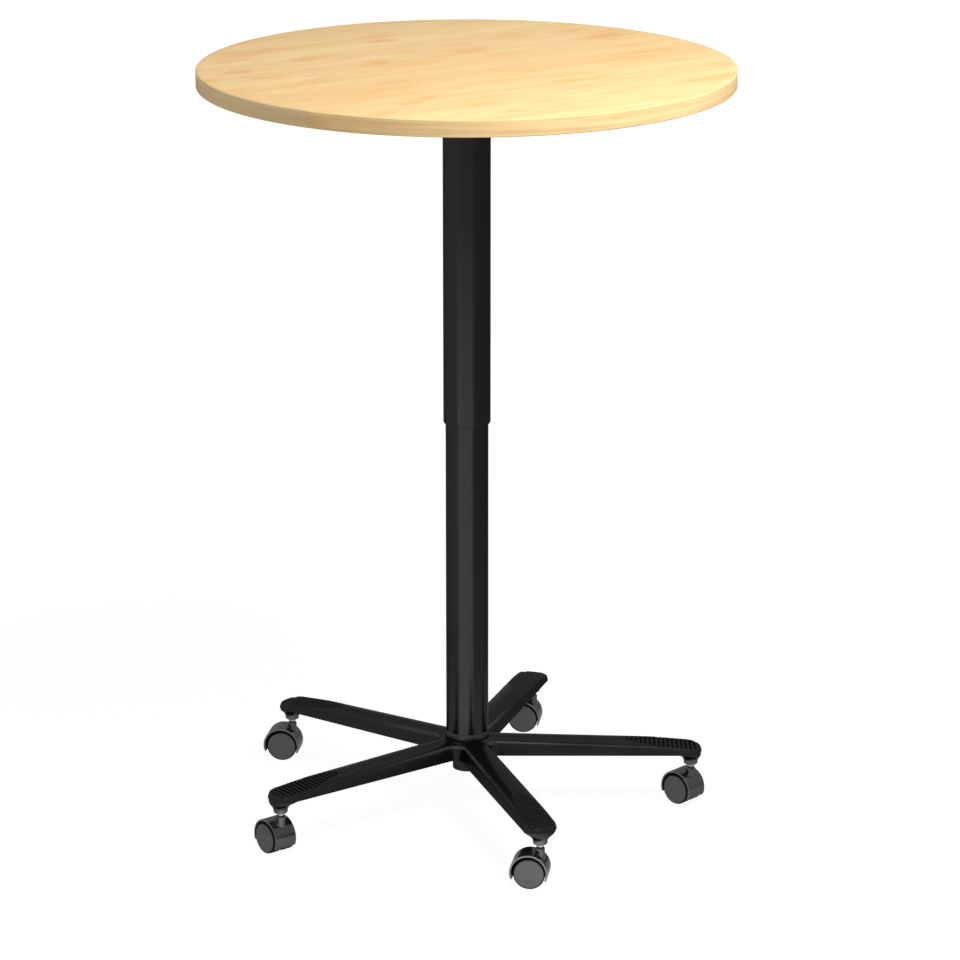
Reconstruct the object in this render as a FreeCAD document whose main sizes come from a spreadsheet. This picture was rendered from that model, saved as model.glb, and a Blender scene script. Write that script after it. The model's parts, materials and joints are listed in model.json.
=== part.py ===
import FreeCAD, Part
import math
import os
import re

import Sketcher

# Standing meeting table: a round board on a telescoping column with a gas spring,
# on a five-arm base with twin-wheel castors.
# Millimetres, +Z up. The origin is on the floor, on the column's axis. Arm 1 points along +X
# and the others follow counter-clockwise. The table is drawn at its full height.

SIZES = {
    # board
    "table_height": 1165.0,
    "top_diameter": 800.0,
    "board_thickness": 25.0,
    "band_thickness": 2.0,
    "edge_rounding": 1.8,
    "pilot_hole_depth": 17.0,
    # plate and tray under the board
    "plate_side": 200.0,
    "plate_thickness": 3.0,
    "plate_corner": 12.0,
    "tray_length": 126.0,
    "tray_width": 96.0,
    "tray_depth": 22.0,
    "screw_reach": 88.0,
    "screw_row": 30.0,
    "screw_radius": 2.2,
    "screw_length": 18.0,
    "screw_head_radius": 4.2,
    "screw_head_height": 2.5,
    # release lever
    "pivot_place": 30.0,
    "pivot_height": 1131.0,
    "pivot_radius": 3.0,
    "pivot_overhang": 1.0,
    "lever_hub_radius": 6.0,
    "lever_width": 14.0,
    "lever_side_gap": 2.0,
    "lever_slot_land": 1.0,
    "lever_thickness": 3.0,
    "lever_tail": 7.0,
    "lever_crank_start": 64.0,
    "lever_crank_end": 96.0,
    "lever_crank_drop": 11.5,
    "lever_reach": 268.0,
    "grip_start": 185.0,
    "grip_reach": 276.0,
    "grip_width": 24.0,
    "grip_height": 12.0,
    "valve_pin_radius": 2.5,
    "valve_pin_length": 24.0,
    "valve_pin_gap": 0.15,
    "valve_pin_bevel": 0.8,
    "valve_pin_room": 2.0,
    # column
    "upper_tube_diameter": 72.0,
    "upper_tube_wall": 2.0,
    "upper_tube_mouth": 618.6,
    "lip_height": 6.4,
    "lip_rounding": 8.0,
    "lip_inner_radius": 33.0,
    "lip_flat": 0.4,
    "lower_tube_diameter": 65.3,
    "lower_tube_wall": 2.5,
    "lower_tube_seat": 92.0,
    "lower_tube_top": 718.0,
    "running_gap": 0.05,
    "bush_length": 40.0,
    "bush_flange": 2.0,
    "collar_foot_radius": 33.5,
    "collar_top_radius": 32.9,
    "collar_bulge_radius": 11.0,
    "collar_seat": 113.9,
    "collar_top": 124.5,
    # gas spring
    "cylinder_radius": 14.0,
    "cylinder_wall": 2.5,
    "cylinder_top": 640.0,
    "cylinder_end": 15.0,
    "rod_radius": 5.0,
    "piston_length": 15.0,
    "piston_stop_gap": 5.0,
    "stud_radius": 8.0,
    "stud_clearance": 0.2,
    "stud_bottom": 62.0,
    "nut_corner_radius": 13.8,
    "nut_height": 10.0,
    "nut_bottom": 63.0,
    "washer_radius": 14.5,
    "washer_thickness": 3.0,
    "rod_nut_corner_radius": 9.2,
    "rod_nut_height": 6.0,
    # star base
    "arm_bottom": 87.5,
    "arm_half_width": 25.0,
    "arm_tip_half_width": 26.8,
    "arm_side_end": 343.0,
    "tip_side_radius": 19.0,
    "tip_front_radius": 30.0,
    "arm_draft": 15.0,
    "arm_block_height": 28.0,
    "crown_radius": 50.0,
    "crown_start_height": 114.7,
    "crown_half_width": 32.0,
    "crown_slope": 1.52,
    "crown_cut_height": 20.0,
    "pad_start": 240.0,
    "pad_start_height": 108.3,
    "pad_slope": 6.05,
    "pad_cut_back": 40.0,
    "pad_cut_reach": 150.0,
    "crotch_centre": 59.5,
    "crotch_bottom_radius": 9.7,
    "web_top": 108.7,
    "hub_radius": 43.0,
    "hub_top_radius": 35.5,
    "hub_top": 113.9,
    "hub_step": 98.0,
    "boss_radius": 22.8,
    "boss_bottom": 60.4,
    "boss_counterbore": 16.0,
    "boss_floor": 76.0,
    "bore_overcut": 5.0,
    "rib_thickness": 4.0,
    "cell_start": 62.0,
    "cell_length": 54.0,
    "cell_half_width": 15.0,
    "cell_depth": 15.0,
    "tip_cell_start": 246.0,
    "tip_cell_length": 38.0,
    "tip_cell_depth": 6.0,
    "castor_circle": 348.09,
    "socket_boss_radius": 11.0,
    "socket_boss_bottom": 67.5,
    "socket_flare_start": 69.5,
    "socket_flare_radius": 22.0,
    "socket_flare_width": 15.0,
    "socket_flare_land": 1.0,
    "boss_trim_half": 60.0,
    "boss_trim_start": 50.0,
    "socket_bore": 8.0,
    "socket_bore_top": 92.5,
    # castors
    "sleeve_flange_radius": 10.5,
    "sleeve_bottom": 66.0,
    "sleeve_bevel": 0.8,
    "sleeve_top": 92.0,
    "stem_pin_radius": 5.5,
    "stem_pin_top": 90.0,
    "stem_pin_bevel": 1.0,
    "stem_ring_groove": 0.6,
    "stem_ring_width": 2.0,
    "stem_ring_place": 6.0,
    "stem_flange_radius": 6.1,
    "stem_flange_bottom": 62.5,
    "stem_shaft_radius": 4.0,
    "stem_shaft_bottom": 48.2,
    "stem_tip_radius": 2.5,
    "stem_tip_bottom": 34.0,
    "stem_tip_room": 1.0,
    "axle_offset": 14.0,
    "axle_height": 24.0,
    "axle_radius": 3.0,
    "axle_half_length": 17.5,
    "wheel_radius": 24.0,
    "wheel_inner_face": 4.0,
    "wheel_width": 17.3,
    "wheel_dome": 0.5,
    "wheel_rounding": 2.0,
    "wheel_bevel": 0.8,
    "wheel_hub_radius": 7.0,
    "wheel_rim_thickness": 4.0,
    "wheel_web_thickness": 3.3,
    "wheel_bore_depth": 14.5,
    "hood_centre_offset": 15.2,
    "hood_radius": 28.8,
    "hood_wall": 2.4,
    "hood_half_width": 18.5,
    "hood_web_half": 3.4,
    "hood_front_angle": 21.0,
    "hood_back_angle": 23.5,
    "hood_hub_bottom": 16.0,
    "hood_hub_half_length": 10.0,
    "neck_radius": 7.0,
    "neck_mouth_radius": 5.0,
    "neck_mouth_depth": 2.0,
    "neck_mouth_bevel": 1.0,
    "neck_bottom": 40.0,
    "neck_top": 59.5,
}

ARM_COUNT = 5
ARM_STEP = 360.0 / ARM_COUNT
# direction in which each castor trails behind its stem, in degrees from +X
CASTOR_TRAIL = (137.2, 171.0, 171.0, 128.5, 171.0)
UNDERSIDE_CELLS = 3
TIP_CELLS = 2

os.makedirs("parts", exist_ok=True)
doc = FreeCAD.newDocument("standing_meeting_table")
Vector = FreeCAD.Vector
Rotation = FreeCAD.Rotation
Placement = FreeCAD.Placement

sheet = doc.addObject("Spreadsheet::Sheet", "sizes")
for row, (alias, number) in enumerate(SIZES.items(), start=1):
    sheet.set(f"A{row}", alias)
    sheet.set(f"B{row}", str(number))
    sheet.setAlias(f"B{row}", alias)
doc.recompute()

ALIAS = re.compile(r"\b(" + "|".join(sorted(SIZES, key=len, reverse=True)) + r")\b")
nodes = []


# ---------------------------------------------------------------- ways of drawing

def bound(text):
    """The expression with each named size pointing at its cell in the sheet."""
    return ALIAS.sub(r"sizes.\1", str(text))


def value(text):
    """The number that an expression of named sizes comes to."""
    return float(sheet.evalExpression(str(text)))


def new_body(label):
    """An empty PartDesign body that is one node of the table."""
    body = doc.addObject("PartDesign::Body", label)
    body.Label = label
    nodes.append(body)
    return body


def new_sketch(body, name, role, offset=Placement()):
    """A sketch on one of the body's origin planes."""
    sketch = body.newObject("Sketcher::SketchObject", name)
    plane = [item for item in body.Origin.OriginFeatures if item.Role == role][0]
    sketch.AttachmentSupport = [(plane, "")]
    sketch.MapMode = "FlatFace"
    sketch.AttachmentOffset = offset
    return sketch


def hold_distance(sketch, kind, geometry, corner, text):
    """Bind one coordinate of a sketch point to the sheet."""
    distance = value(text)
    if abs(distance) < 1e-9:
        axis = -2 if kind == "DistanceX" else -1
        sketch.addConstraint(Sketcher.Constraint("PointOnObject", geometry, corner, axis))
        return
    index = sketch.addConstraint(Sketcher.Constraint(kind, -1, 1, geometry, corner, distance))
    sketch.setExpression(f"Constraints[{index}]", bound(text))


def arc_between(first, second, radius):
    """The arc from first to second: left-hand turn for a positive radius, else right-hand."""
    chord = second - first
    left = Vector(-chord.y, chord.x, 0).normalize()
    rise = math.sqrt(radius ** 2 - chord.Length ** 2 / 4)
    centre = (first + second) * 0.5 + left * math.copysign(rise, radius)
    circle = Part.Circle(centre, Vector(0, 0, 1), abs(radius))
    angles = [math.atan2(end.y - centre.y, end.x - centre.x) for end in (first, second)]
    if radius < 0:
        angles.reverse()
    return Part.ArcOfCircle(circle, angles[0], angles[1])


def draw_loop(sketch, corners):
    """Closed outline. A corner is (x, y), or (x, y, radius) where an arc leaves it."""
    places = [Vector(value(corner[0]), value(corner[1]), 0) for corner in corners]
    starts = []
    ends = []
    for number, corner in enumerate(corners):
        first = places[number]
        second = places[(number + 1) % len(corners)]
        if len(corner) == 2:
            geometry = sketch.addGeometry(Part.LineSegment(first, second))
            turned = False
        else:
            radius = value(corner[2])
            geometry = sketch.addGeometry(arc_between(first, second, radius))
            index = sketch.addConstraint(Sketcher.Constraint("Radius", geometry, abs(radius)))
            sketch.setExpression(f"Constraints[{index}]", f"abs({bound(corner[2])})")
            turned = radius < 0
        starts.append((geometry, 2 if turned else 1))
        ends.append((geometry, 1 if turned else 2))
    for number, corner in enumerate(corners):
        following = starts[(number + 1) % len(corners)]
        sketch.addConstraint(Sketcher.Constraint("Coincident", *ends[number], *following))
        hold_distance(sketch, "DistanceX", *starts[number], corner[0])
        hold_distance(sketch, "DistanceY", *starts[number], corner[1])


def draw_circle(sketch, x, y, radius):
    """A circle with its centre and radius bound to the sheet."""
    centre = Vector(value(x), value(y), 0)
    circle = Part.Circle(centre, Vector(0, 0, 1), value(radius))
    geometry = sketch.addGeometry(circle)
    hold_distance(sketch, "DistanceX", geometry, 3, x)
    hold_distance(sketch, "DistanceY", geometry, 3, y)
    index = sketch.addConstraint(Sketcher.Constraint("Radius", geometry, value(radius)))
    sketch.setExpression(f"Constraints[{index}]", bound(radius))


def extrude(body, kind, sketch, length, reverse=False, both_ways=False, draft=None):
    """A Pad or Pocket of a sketch. A Pad grows along the sketch's normal, a Pocket against it."""
    feature = body.newObject(f"PartDesign::{kind}", kind.lower())
    feature.Profile = sketch
    feature.setExpression("Length", bound(length))
    feature.Reversed = reverse
    feature.Midplane = both_ways
    if draft is not None:
        feature.setExpression("TaperAngle", bound(draft))
    return feature


def turn(body, kind, sketch):
    """A Revolution or Groove of a sketch about its own vertical axis."""
    feature = body.newObject(f"PartDesign::{kind}", kind.lower())
    feature.Profile = sketch
    feature.ReferenceAxis = (sketch, ["V_Axis"])
    feature.Angle = 360.0
    return feature


def turned_part(label, corners, placement=Placement()):
    """A node that is one solid of revolution. Corners are (radius, height)."""
    body = new_body(label)
    sketch = new_sketch(body, "section", "XZ_Plane")
    draw_loop(sketch, corners)
    turn(body, "Revolution", sketch)
    body.Placement = placement
    return body


def ring(inner, outer, bottom, top):
    """Corners of a plain ring's section."""
    return [(inner, bottom), (outer, bottom), (outer, top), (inner, top)]


def raised(height):
    """Offset of a sketch along its plane's normal."""
    return Placement(Vector(0, 0, value(height)), Rotation())


def hexagon_nut(label, corner_radius, bore, height, bottom):
    """A hexagon nut: a prism with a bore, as a Part boolean."""
    blank = doc.addObject("Part::Prism", f"{label}_blank")
    blank.Polygon = 6
    blank.setExpression("Circumradius", bound(corner_radius))
    blank.setExpression("Height", bound(height))
    hole = doc.addObject("Part::Cylinder", f"{label}_hole")
    hole.setExpression("Radius", bound(bore))
    hole.setExpression("Height", bound(height))
    nut = doc.addObject("Part::Cut", label)
    nut.Label = label
    nut.Base = blank
    nut.Tool = hole
    nut.Placement = raised(bottom)
    nodes.append(nut)
    return nut


# ---------------------------------------------------------------- board and its edge

BOARD_BOTTOM = "(table_height - board_thickness)"
BAND_INNER = "(top_diameter / 2 - band_thickness)"
BAND_OUTER = "(top_diameter / 2)"
SCREW_PLACES = [(f"{side} * screw_reach", f"{end} * {place}")
                for side in (-1, 1) for end in (-1, 1) for place in ("screw_reach", "screw_row")]


def tabletop_board():
    """Round chipboard disc with pilot holes for the plate's screws."""
    body = new_body("tabletop_board")
    disc = new_sketch(body, "disc", "XY_Plane", raised(BOARD_BOTTOM))
    draw_circle(disc, "0", "0", BAND_INNER)
    extrude(body, "Pad", disc, "board_thickness")
    holes = new_sketch(body, "pilot_holes", "XY_Plane", raised(BOARD_BOTTOM))
    for place in SCREW_PLACES:
        draw_circle(holes, *place, "screw_radius")
    extrude(body, "Pocket", holes, "pilot_hole_depth", reverse=True)


def edge_band():
    """Strip round the board's edge, with both outer corners rounded."""
    straight = "(top_diameter / 2 - edge_rounding)"
    turned_part("edge_band", [
        (BAND_INNER, BOARD_BOTTOM),
        (straight, BOARD_BOTTOM, "edge_rounding"),
        (BAND_OUTER, f"{BOARD_BOTTOM} + edge_rounding"),
        (BAND_OUTER, "table_height - edge_rounding", "edge_rounding"),
        (straight, "table_height"),
        (BAND_INNER, "table_height"),
    ])


# ---------------------------------------------------------------- plate, screws and lever

TRAY_BOTTOM = f"({BOARD_BOTTOM} - tray_depth)"
PLATE_BOTTOM = f"({BOARD_BOTTOM} - plate_thickness)"


def rectangle(half_length, half_width):
    """Corners of a rectangle about the origin."""
    return [(f"-({half_length})", f"-({half_width})"), (half_length, f"-({half_width})"),
            (half_length, half_width), (f"-({half_length})", half_width)]


def mounting_plate():
    """Pressed steel plate: a screwed flange with a tray that holds the lever's pivot."""
    body = new_body("mounting_plate")
    edge = "(plate_side / 2)"
    inset = "(plate_side / 2 - plate_corner)"
    flange = new_sketch(body, "flange", "XY_Plane", raised(PLATE_BOTTOM))
    draw_loop(flange, [
        (f"-{inset}", f"-{edge}"), (inset, f"-{edge}", "plate_corner"),
        (edge, f"-{inset}"), (edge, inset, "plate_corner"),
        (inset, edge), (f"-{inset}", edge, "plate_corner"),
        (f"-{edge}", inset), (f"-{edge}", f"-{inset}", "plate_corner"),
    ])
    extrude(body, "Pad", flange, "plate_thickness")
    tray = new_sketch(body, "tray", "XY_Plane", raised(TRAY_BOTTOM))
    draw_loop(tray, rectangle("tray_length / 2", "tray_width / 2"))
    extrude(body, "Pad", tray, "tray_depth")
    hollow = new_sketch(body, "hollow", "XY_Plane", raised(BOARD_BOTTOM))
    draw_loop(hollow, rectangle("tray_length / 2 - plate_thickness",
                                "tray_width / 2 - plate_thickness"))
    extrude(body, "Pocket", hollow, "tray_depth - plate_thickness")
    holes = new_sketch(body, "holes", "XY_Plane", raised(BOARD_BOTTOM))
    for place in SCREW_PLACES:
        draw_circle(holes, *place, "screw_radius + running_gap")
    draw_circle(holes, "0", "0", "rod_radius")
    extrude(body, "Pocket", holes, "2 * tray_depth")
    slot = new_sketch(body, "lever_slot", "YZ_Plane", raised("tray_length / 4"))
    half = "(lever_width / 2 + lever_side_gap)"
    draw_loop(slot, [(f"-{half}", f"{TRAY_BOTTOM} + plate_thickness"),
                     (half, f"{TRAY_BOTTOM} + plate_thickness"),
                     (half, f"{PLATE_BOTTOM} - lever_slot_land"),
                     (f"-{half}", f"{PLATE_BOTTOM} - lever_slot_land")])
    extrude(body, "Pocket", slot, "tray_length / 2", reverse=True)
    pivot = new_sketch(body, "pivot_holes", "XZ_Plane")
    draw_circle(pivot, "pivot_place", "pivot_height", "pivot_radius")
    extrude(body, "Pocket", pivot, "2 * tray_width", both_ways=True)


def plate_screws():
    """Eight pan-head wood screws through the flange, as separate solids in one node."""
    body = new_body("plate_screws")
    heads = new_sketch(body, "heads", "XY_Plane", raised(f"{PLATE_BOTTOM} - screw_head_height"))
    shanks = new_sketch(body, "shanks", "XY_Plane", raised(f"{PLATE_BOTTOM} - screw_head_height"))
    for place in SCREW_PLACES:
        draw_circle(heads, *place, "screw_head_radius")
        draw_circle(shanks, *place, "screw_radius")
    extrude(body, "Pad", heads, "screw_head_height")
    extrude(body, "Pad", shanks, "screw_head_height + screw_length")


def release_lever():
    """Cranked flat bar with a pivot hub: lifting its outer end presses the valve pin."""
    body = new_body("release_lever")
    top = "(pivot_height + lever_thickness / 2)"
    bottom = "(pivot_height - lever_thickness / 2)"
    bar = new_sketch(body, "bar", "XZ_Plane")
    draw_loop(bar, [
        ("-lever_tail", bottom),
        ("lever_crank_start", bottom),
        ("lever_crank_end", f"{bottom} - lever_crank_drop"),
        ("lever_reach", f"{bottom} - lever_crank_drop"),
        ("lever_reach", f"{top} - lever_crank_drop"),
        ("lever_crank_end", f"{top} - lever_crank_drop"),
        ("lever_crank_start", top),
        ("-lever_tail", top),
    ])
    extrude(body, "Pad", bar, "lever_width", both_ways=True)
    hub = new_sketch(body, "hub", "XZ_Plane")
    draw_circle(hub, "pivot_place", "pivot_height", "lever_hub_radius")
    extrude(body, "Pad", hub, "lever_width", both_ways=True)
    bore = new_sketch(body, "bore", "XZ_Plane")
    draw_circle(bore, "pivot_place", "pivot_height", "pivot_radius + running_gap")
    extrude(body, "Pocket", bore, "2 * lever_width", both_ways=True)


def lever_grip():
    """Moulded grip pushed over the lever's end: a rounded paddle with a slot for the bar."""
    body = new_body("lever_grip")
    middle = "(pivot_height - lever_crank_drop)"
    side = "(grip_width / 2)"
    shoulder = "(grip_width / 2 - grip_height / 2)"
    top = f"({middle} + grip_height / 2)"
    bottom = f"({middle} - grip_height / 2)"
    block = new_sketch(body, "block", "YZ_Plane", raised("grip_start"))
    draw_loop(block, [
        (f"-{shoulder}", bottom), (shoulder, bottom, "grip_height / 2"),
        (side, middle, "grip_height / 2"), (shoulder, top),
        (f"-{shoulder}", top, "grip_height / 2"), (f"-{side}", middle, "grip_height / 2"),
    ])
    extrude(body, "Pad", block, "grip_reach - grip_start")
    slot = new_sketch(body, "slot", "YZ_Plane", raised("grip_start"))
    half = "(lever_width / 2)"
    thin = "(lever_thickness / 2)"
    draw_loop(slot, [(f"-{half}", f"{middle} - {thin}"), (half, f"{middle} - {thin}"),
                     (half, f"{middle} + {thin}"), (f"-{half}", f"{middle} + {thin}")])
    extrude(body, "Pocket", slot, "lever_reach - grip_start", reverse=True)


def lever_pivot_pin():
    """Pin across the tray that the lever turns on."""
    lying = Placement(Vector(value("pivot_place"), 0, value("pivot_height")),
                      Rotation(Vector(1, 0, 0), 90))
    reach = "(tray_width / 2 + pivot_overhang)"
    turned_part("lever_pivot_pin", ring("0", "pivot_radius", f"-{reach}", reach), lying)


# ---------------------------------------------------------------- column

UPPER_RADIUS = "(upper_tube_diameter / 2)"
UPPER_INNER = "(upper_tube_diameter / 2 - upper_tube_wall)"
LOWER_RADIUS = "(lower_tube_diameter / 2)"
LOWER_INNER = "(lower_tube_diameter / 2 - lower_tube_wall)"
BUSH_SEAT = "(upper_tube_mouth + lip_height)"


def upper_tube():
    """Outer telescoping tube. Its mouth is rolled in to hold the lower bush."""
    turned_part("upper_tube", [
        ("lip_inner_radius", "upper_tube_mouth"),
        ("lip_inner_radius + lip_flat", "upper_tube_mouth", "lip_rounding"),
        (UPPER_RADIUS, BUSH_SEAT),
        (UPPER_RADIUS, TRAY_BOTTOM),
        (UPPER_INNER, TRAY_BOTTOM),
        (UPPER_INNER, BUSH_SEAT),
        ("lip_inner_radius", BUSH_SEAT),
    ])


def lower_tube():
    """Inner telescoping tube, pressed into the hub of the star base."""
    turned_part("lower_tube", ring(LOWER_INNER, LOWER_RADIUS, "lower_tube_seat", "lower_tube_top"))


def lower_glide_bush():
    """Plastic sleeve in the upper tube's mouth that runs on the lower tube."""
    turned_part("lower_glide_bush", ring(f"{LOWER_RADIUS} + running_gap", UPPER_INNER,
                                         BUSH_SEAT, f"{BUSH_SEAT} + bush_length"))


def upper_glide_bush():
    """Plastic sleeve with a flange, clipped over the lower tube's top."""
    outer = f"({UPPER_INNER} - running_gap)"
    turned_part("upper_glide_bush", [
        (LOWER_RADIUS, "lower_tube_top - bush_length"),
        (outer, "lower_tube_top - bush_length"),
        (outer, "lower_tube_top + bush_flange"),
        (LOWER_INNER, "lower_tube_top + bush_flange"),
        (LOWER_INNER, "lower_tube_top"),
        (LOWER_RADIUS, "lower_tube_top"),
    ])


def column_collar():
    """Bulging trim ring round the lower tube, seated on the hub."""
    turned_part("column_collar", [
        (LOWER_RADIUS, "collar_seat"),
        ("collar_foot_radius", "collar_seat", "collar_bulge_radius"),
        ("collar_top_radius", "collar_top"),
        (LOWER_RADIUS, "collar_top"),
    ])


def gas_spring_cylinder():
    """Closed cylinder with a threaded stud below and a guide for the rod above."""
    inner = "(cylinder_radius - cylinder_wall)"
    floor = "(lower_tube_seat + cylinder_end)"
    ceiling = "(cylinder_top - cylinder_end)"
    guide = "(rod_radius + running_gap)"
    turned_part("gas_spring_cylinder", [
        ("0", "stud_bottom"), ("stud_radius", "stud_bottom"),
        ("stud_radius", "lower_tube_seat"), ("cylinder_radius", "lower_tube_seat"),
        ("cylinder_radius", "cylinder_top"), (guide, "cylinder_top"),
        (guide, ceiling), (inner, ceiling), (inner, floor), ("0", floor),
    ])


def piston_rod():
    """Polished rod with a piston below and a bore for the valve pin above."""
    piston_top = "(cylinder_top - cylinder_end - piston_stop_gap)"
    piston = "(cylinder_radius - cylinder_wall - running_gap)"
    top = f"({TRAY_BOTTOM} + plate_thickness + rod_nut_height)"
    pin_bore = "(valve_pin_radius + running_gap)"
    floor = f"({top} - valve_pin_length - valve_pin_room)"
    turned_part("piston_rod", [
        ("0", f"{piston_top} - piston_length"), (piston, f"{piston_top} - piston_length"),
        (piston, piston_top), ("rod_radius", piston_top), ("rod_radius", top),
        (pin_bore, top), (pin_bore, floor), ("0", floor),
    ])


def release_pin():
    """Valve pin in the rod's top, pressed down by the lever."""
    top = "(pivot_height - lever_thickness / 2 - valve_pin_gap)"
    turned_part("release_pin", [
        ("0", f"{top} - valve_pin_length"), ("valve_pin_radius", f"{top} - valve_pin_length"),
        ("valve_pin_radius", f"{top} - valve_pin_bevel"),
        ("valve_pin_radius - valve_pin_bevel", top),
        ("0", top),
    ])


def column_fasteners():
    """Nut and washer under the hub, and the nut that holds the rod to the tray."""
    hexagon_nut("base_nut", "nut_corner_radius", "stud_radius", "nut_height", "nut_bottom")
    top = "(nut_bottom + nut_height)"
    turned_part("base_washer", ring("stud_radius", "washer_radius", top,
                                    f"{top} + washer_thickness"))
    hexagon_nut("rod_nut", "rod_nut_corner_radius", "rod_radius", "rod_nut_height",
                f"{TRAY_BOTTOM} + plate_thickness")


# ---------------------------------------------------------------- star base

def arm_outline():
    """Corners of one arm's foot outline: two nearly parallel sides and a three-arc tip."""
    front_centre = ("(arm_side_end - sqrt((tip_front_radius - tip_side_radius) ^ 2"
                    " - (arm_tip_half_width - tip_side_radius) ^ 2))")
    reach = "(tip_front_radius / (tip_front_radius - tip_side_radius))"
    join_x = f"({front_centre} + (arm_side_end - {front_centre}) * {reach})"
    join_y = f"((arm_tip_half_width - tip_side_radius) * {reach})"
    return [
        ("0", "-arm_half_width"),
        ("arm_side_end", "-arm_tip_half_width", "tip_side_radius"),
        (join_x, f"-{join_y}", "tip_front_radius"),
        (join_x, join_y, "tip_side_radius"),
        ("arm_side_end", "arm_tip_half_width"),
        ("0", "arm_half_width"),
    ]


def cell(start, length):
    """Corners of one hollow under an arm."""
    return [(start, "-cell_half_width"), (f"{start} + {length}", "-cell_half_width"),
            (f"{start} + {length}", "cell_half_width"), (start, "cell_half_width")]


def web_outline():
    """Corners of the hub's web: a concave arc in each crotch, a chord across each arm."""
    corners = []
    tangent = f"(crotch_centre * cos({ARM_STEP / 2}))"
    half = f"(crotch_centre * sin({ARM_STEP / 2}) - crotch_bottom_radius)"
    for number in range(ARM_COUNT):
        turn_by = number * ARM_STEP
        for side in (-1, 1):
            x = f"({tangent} * cos({turn_by}) - {side} * {half} * sin({turn_by}))"
            y = f"({tangent} * sin({turn_by}) + {side} * {half} * cos({turn_by}))"
            corners.append((x, y) if side < 0 else (x, y, "-crotch_bottom_radius"))
    return corners


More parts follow.
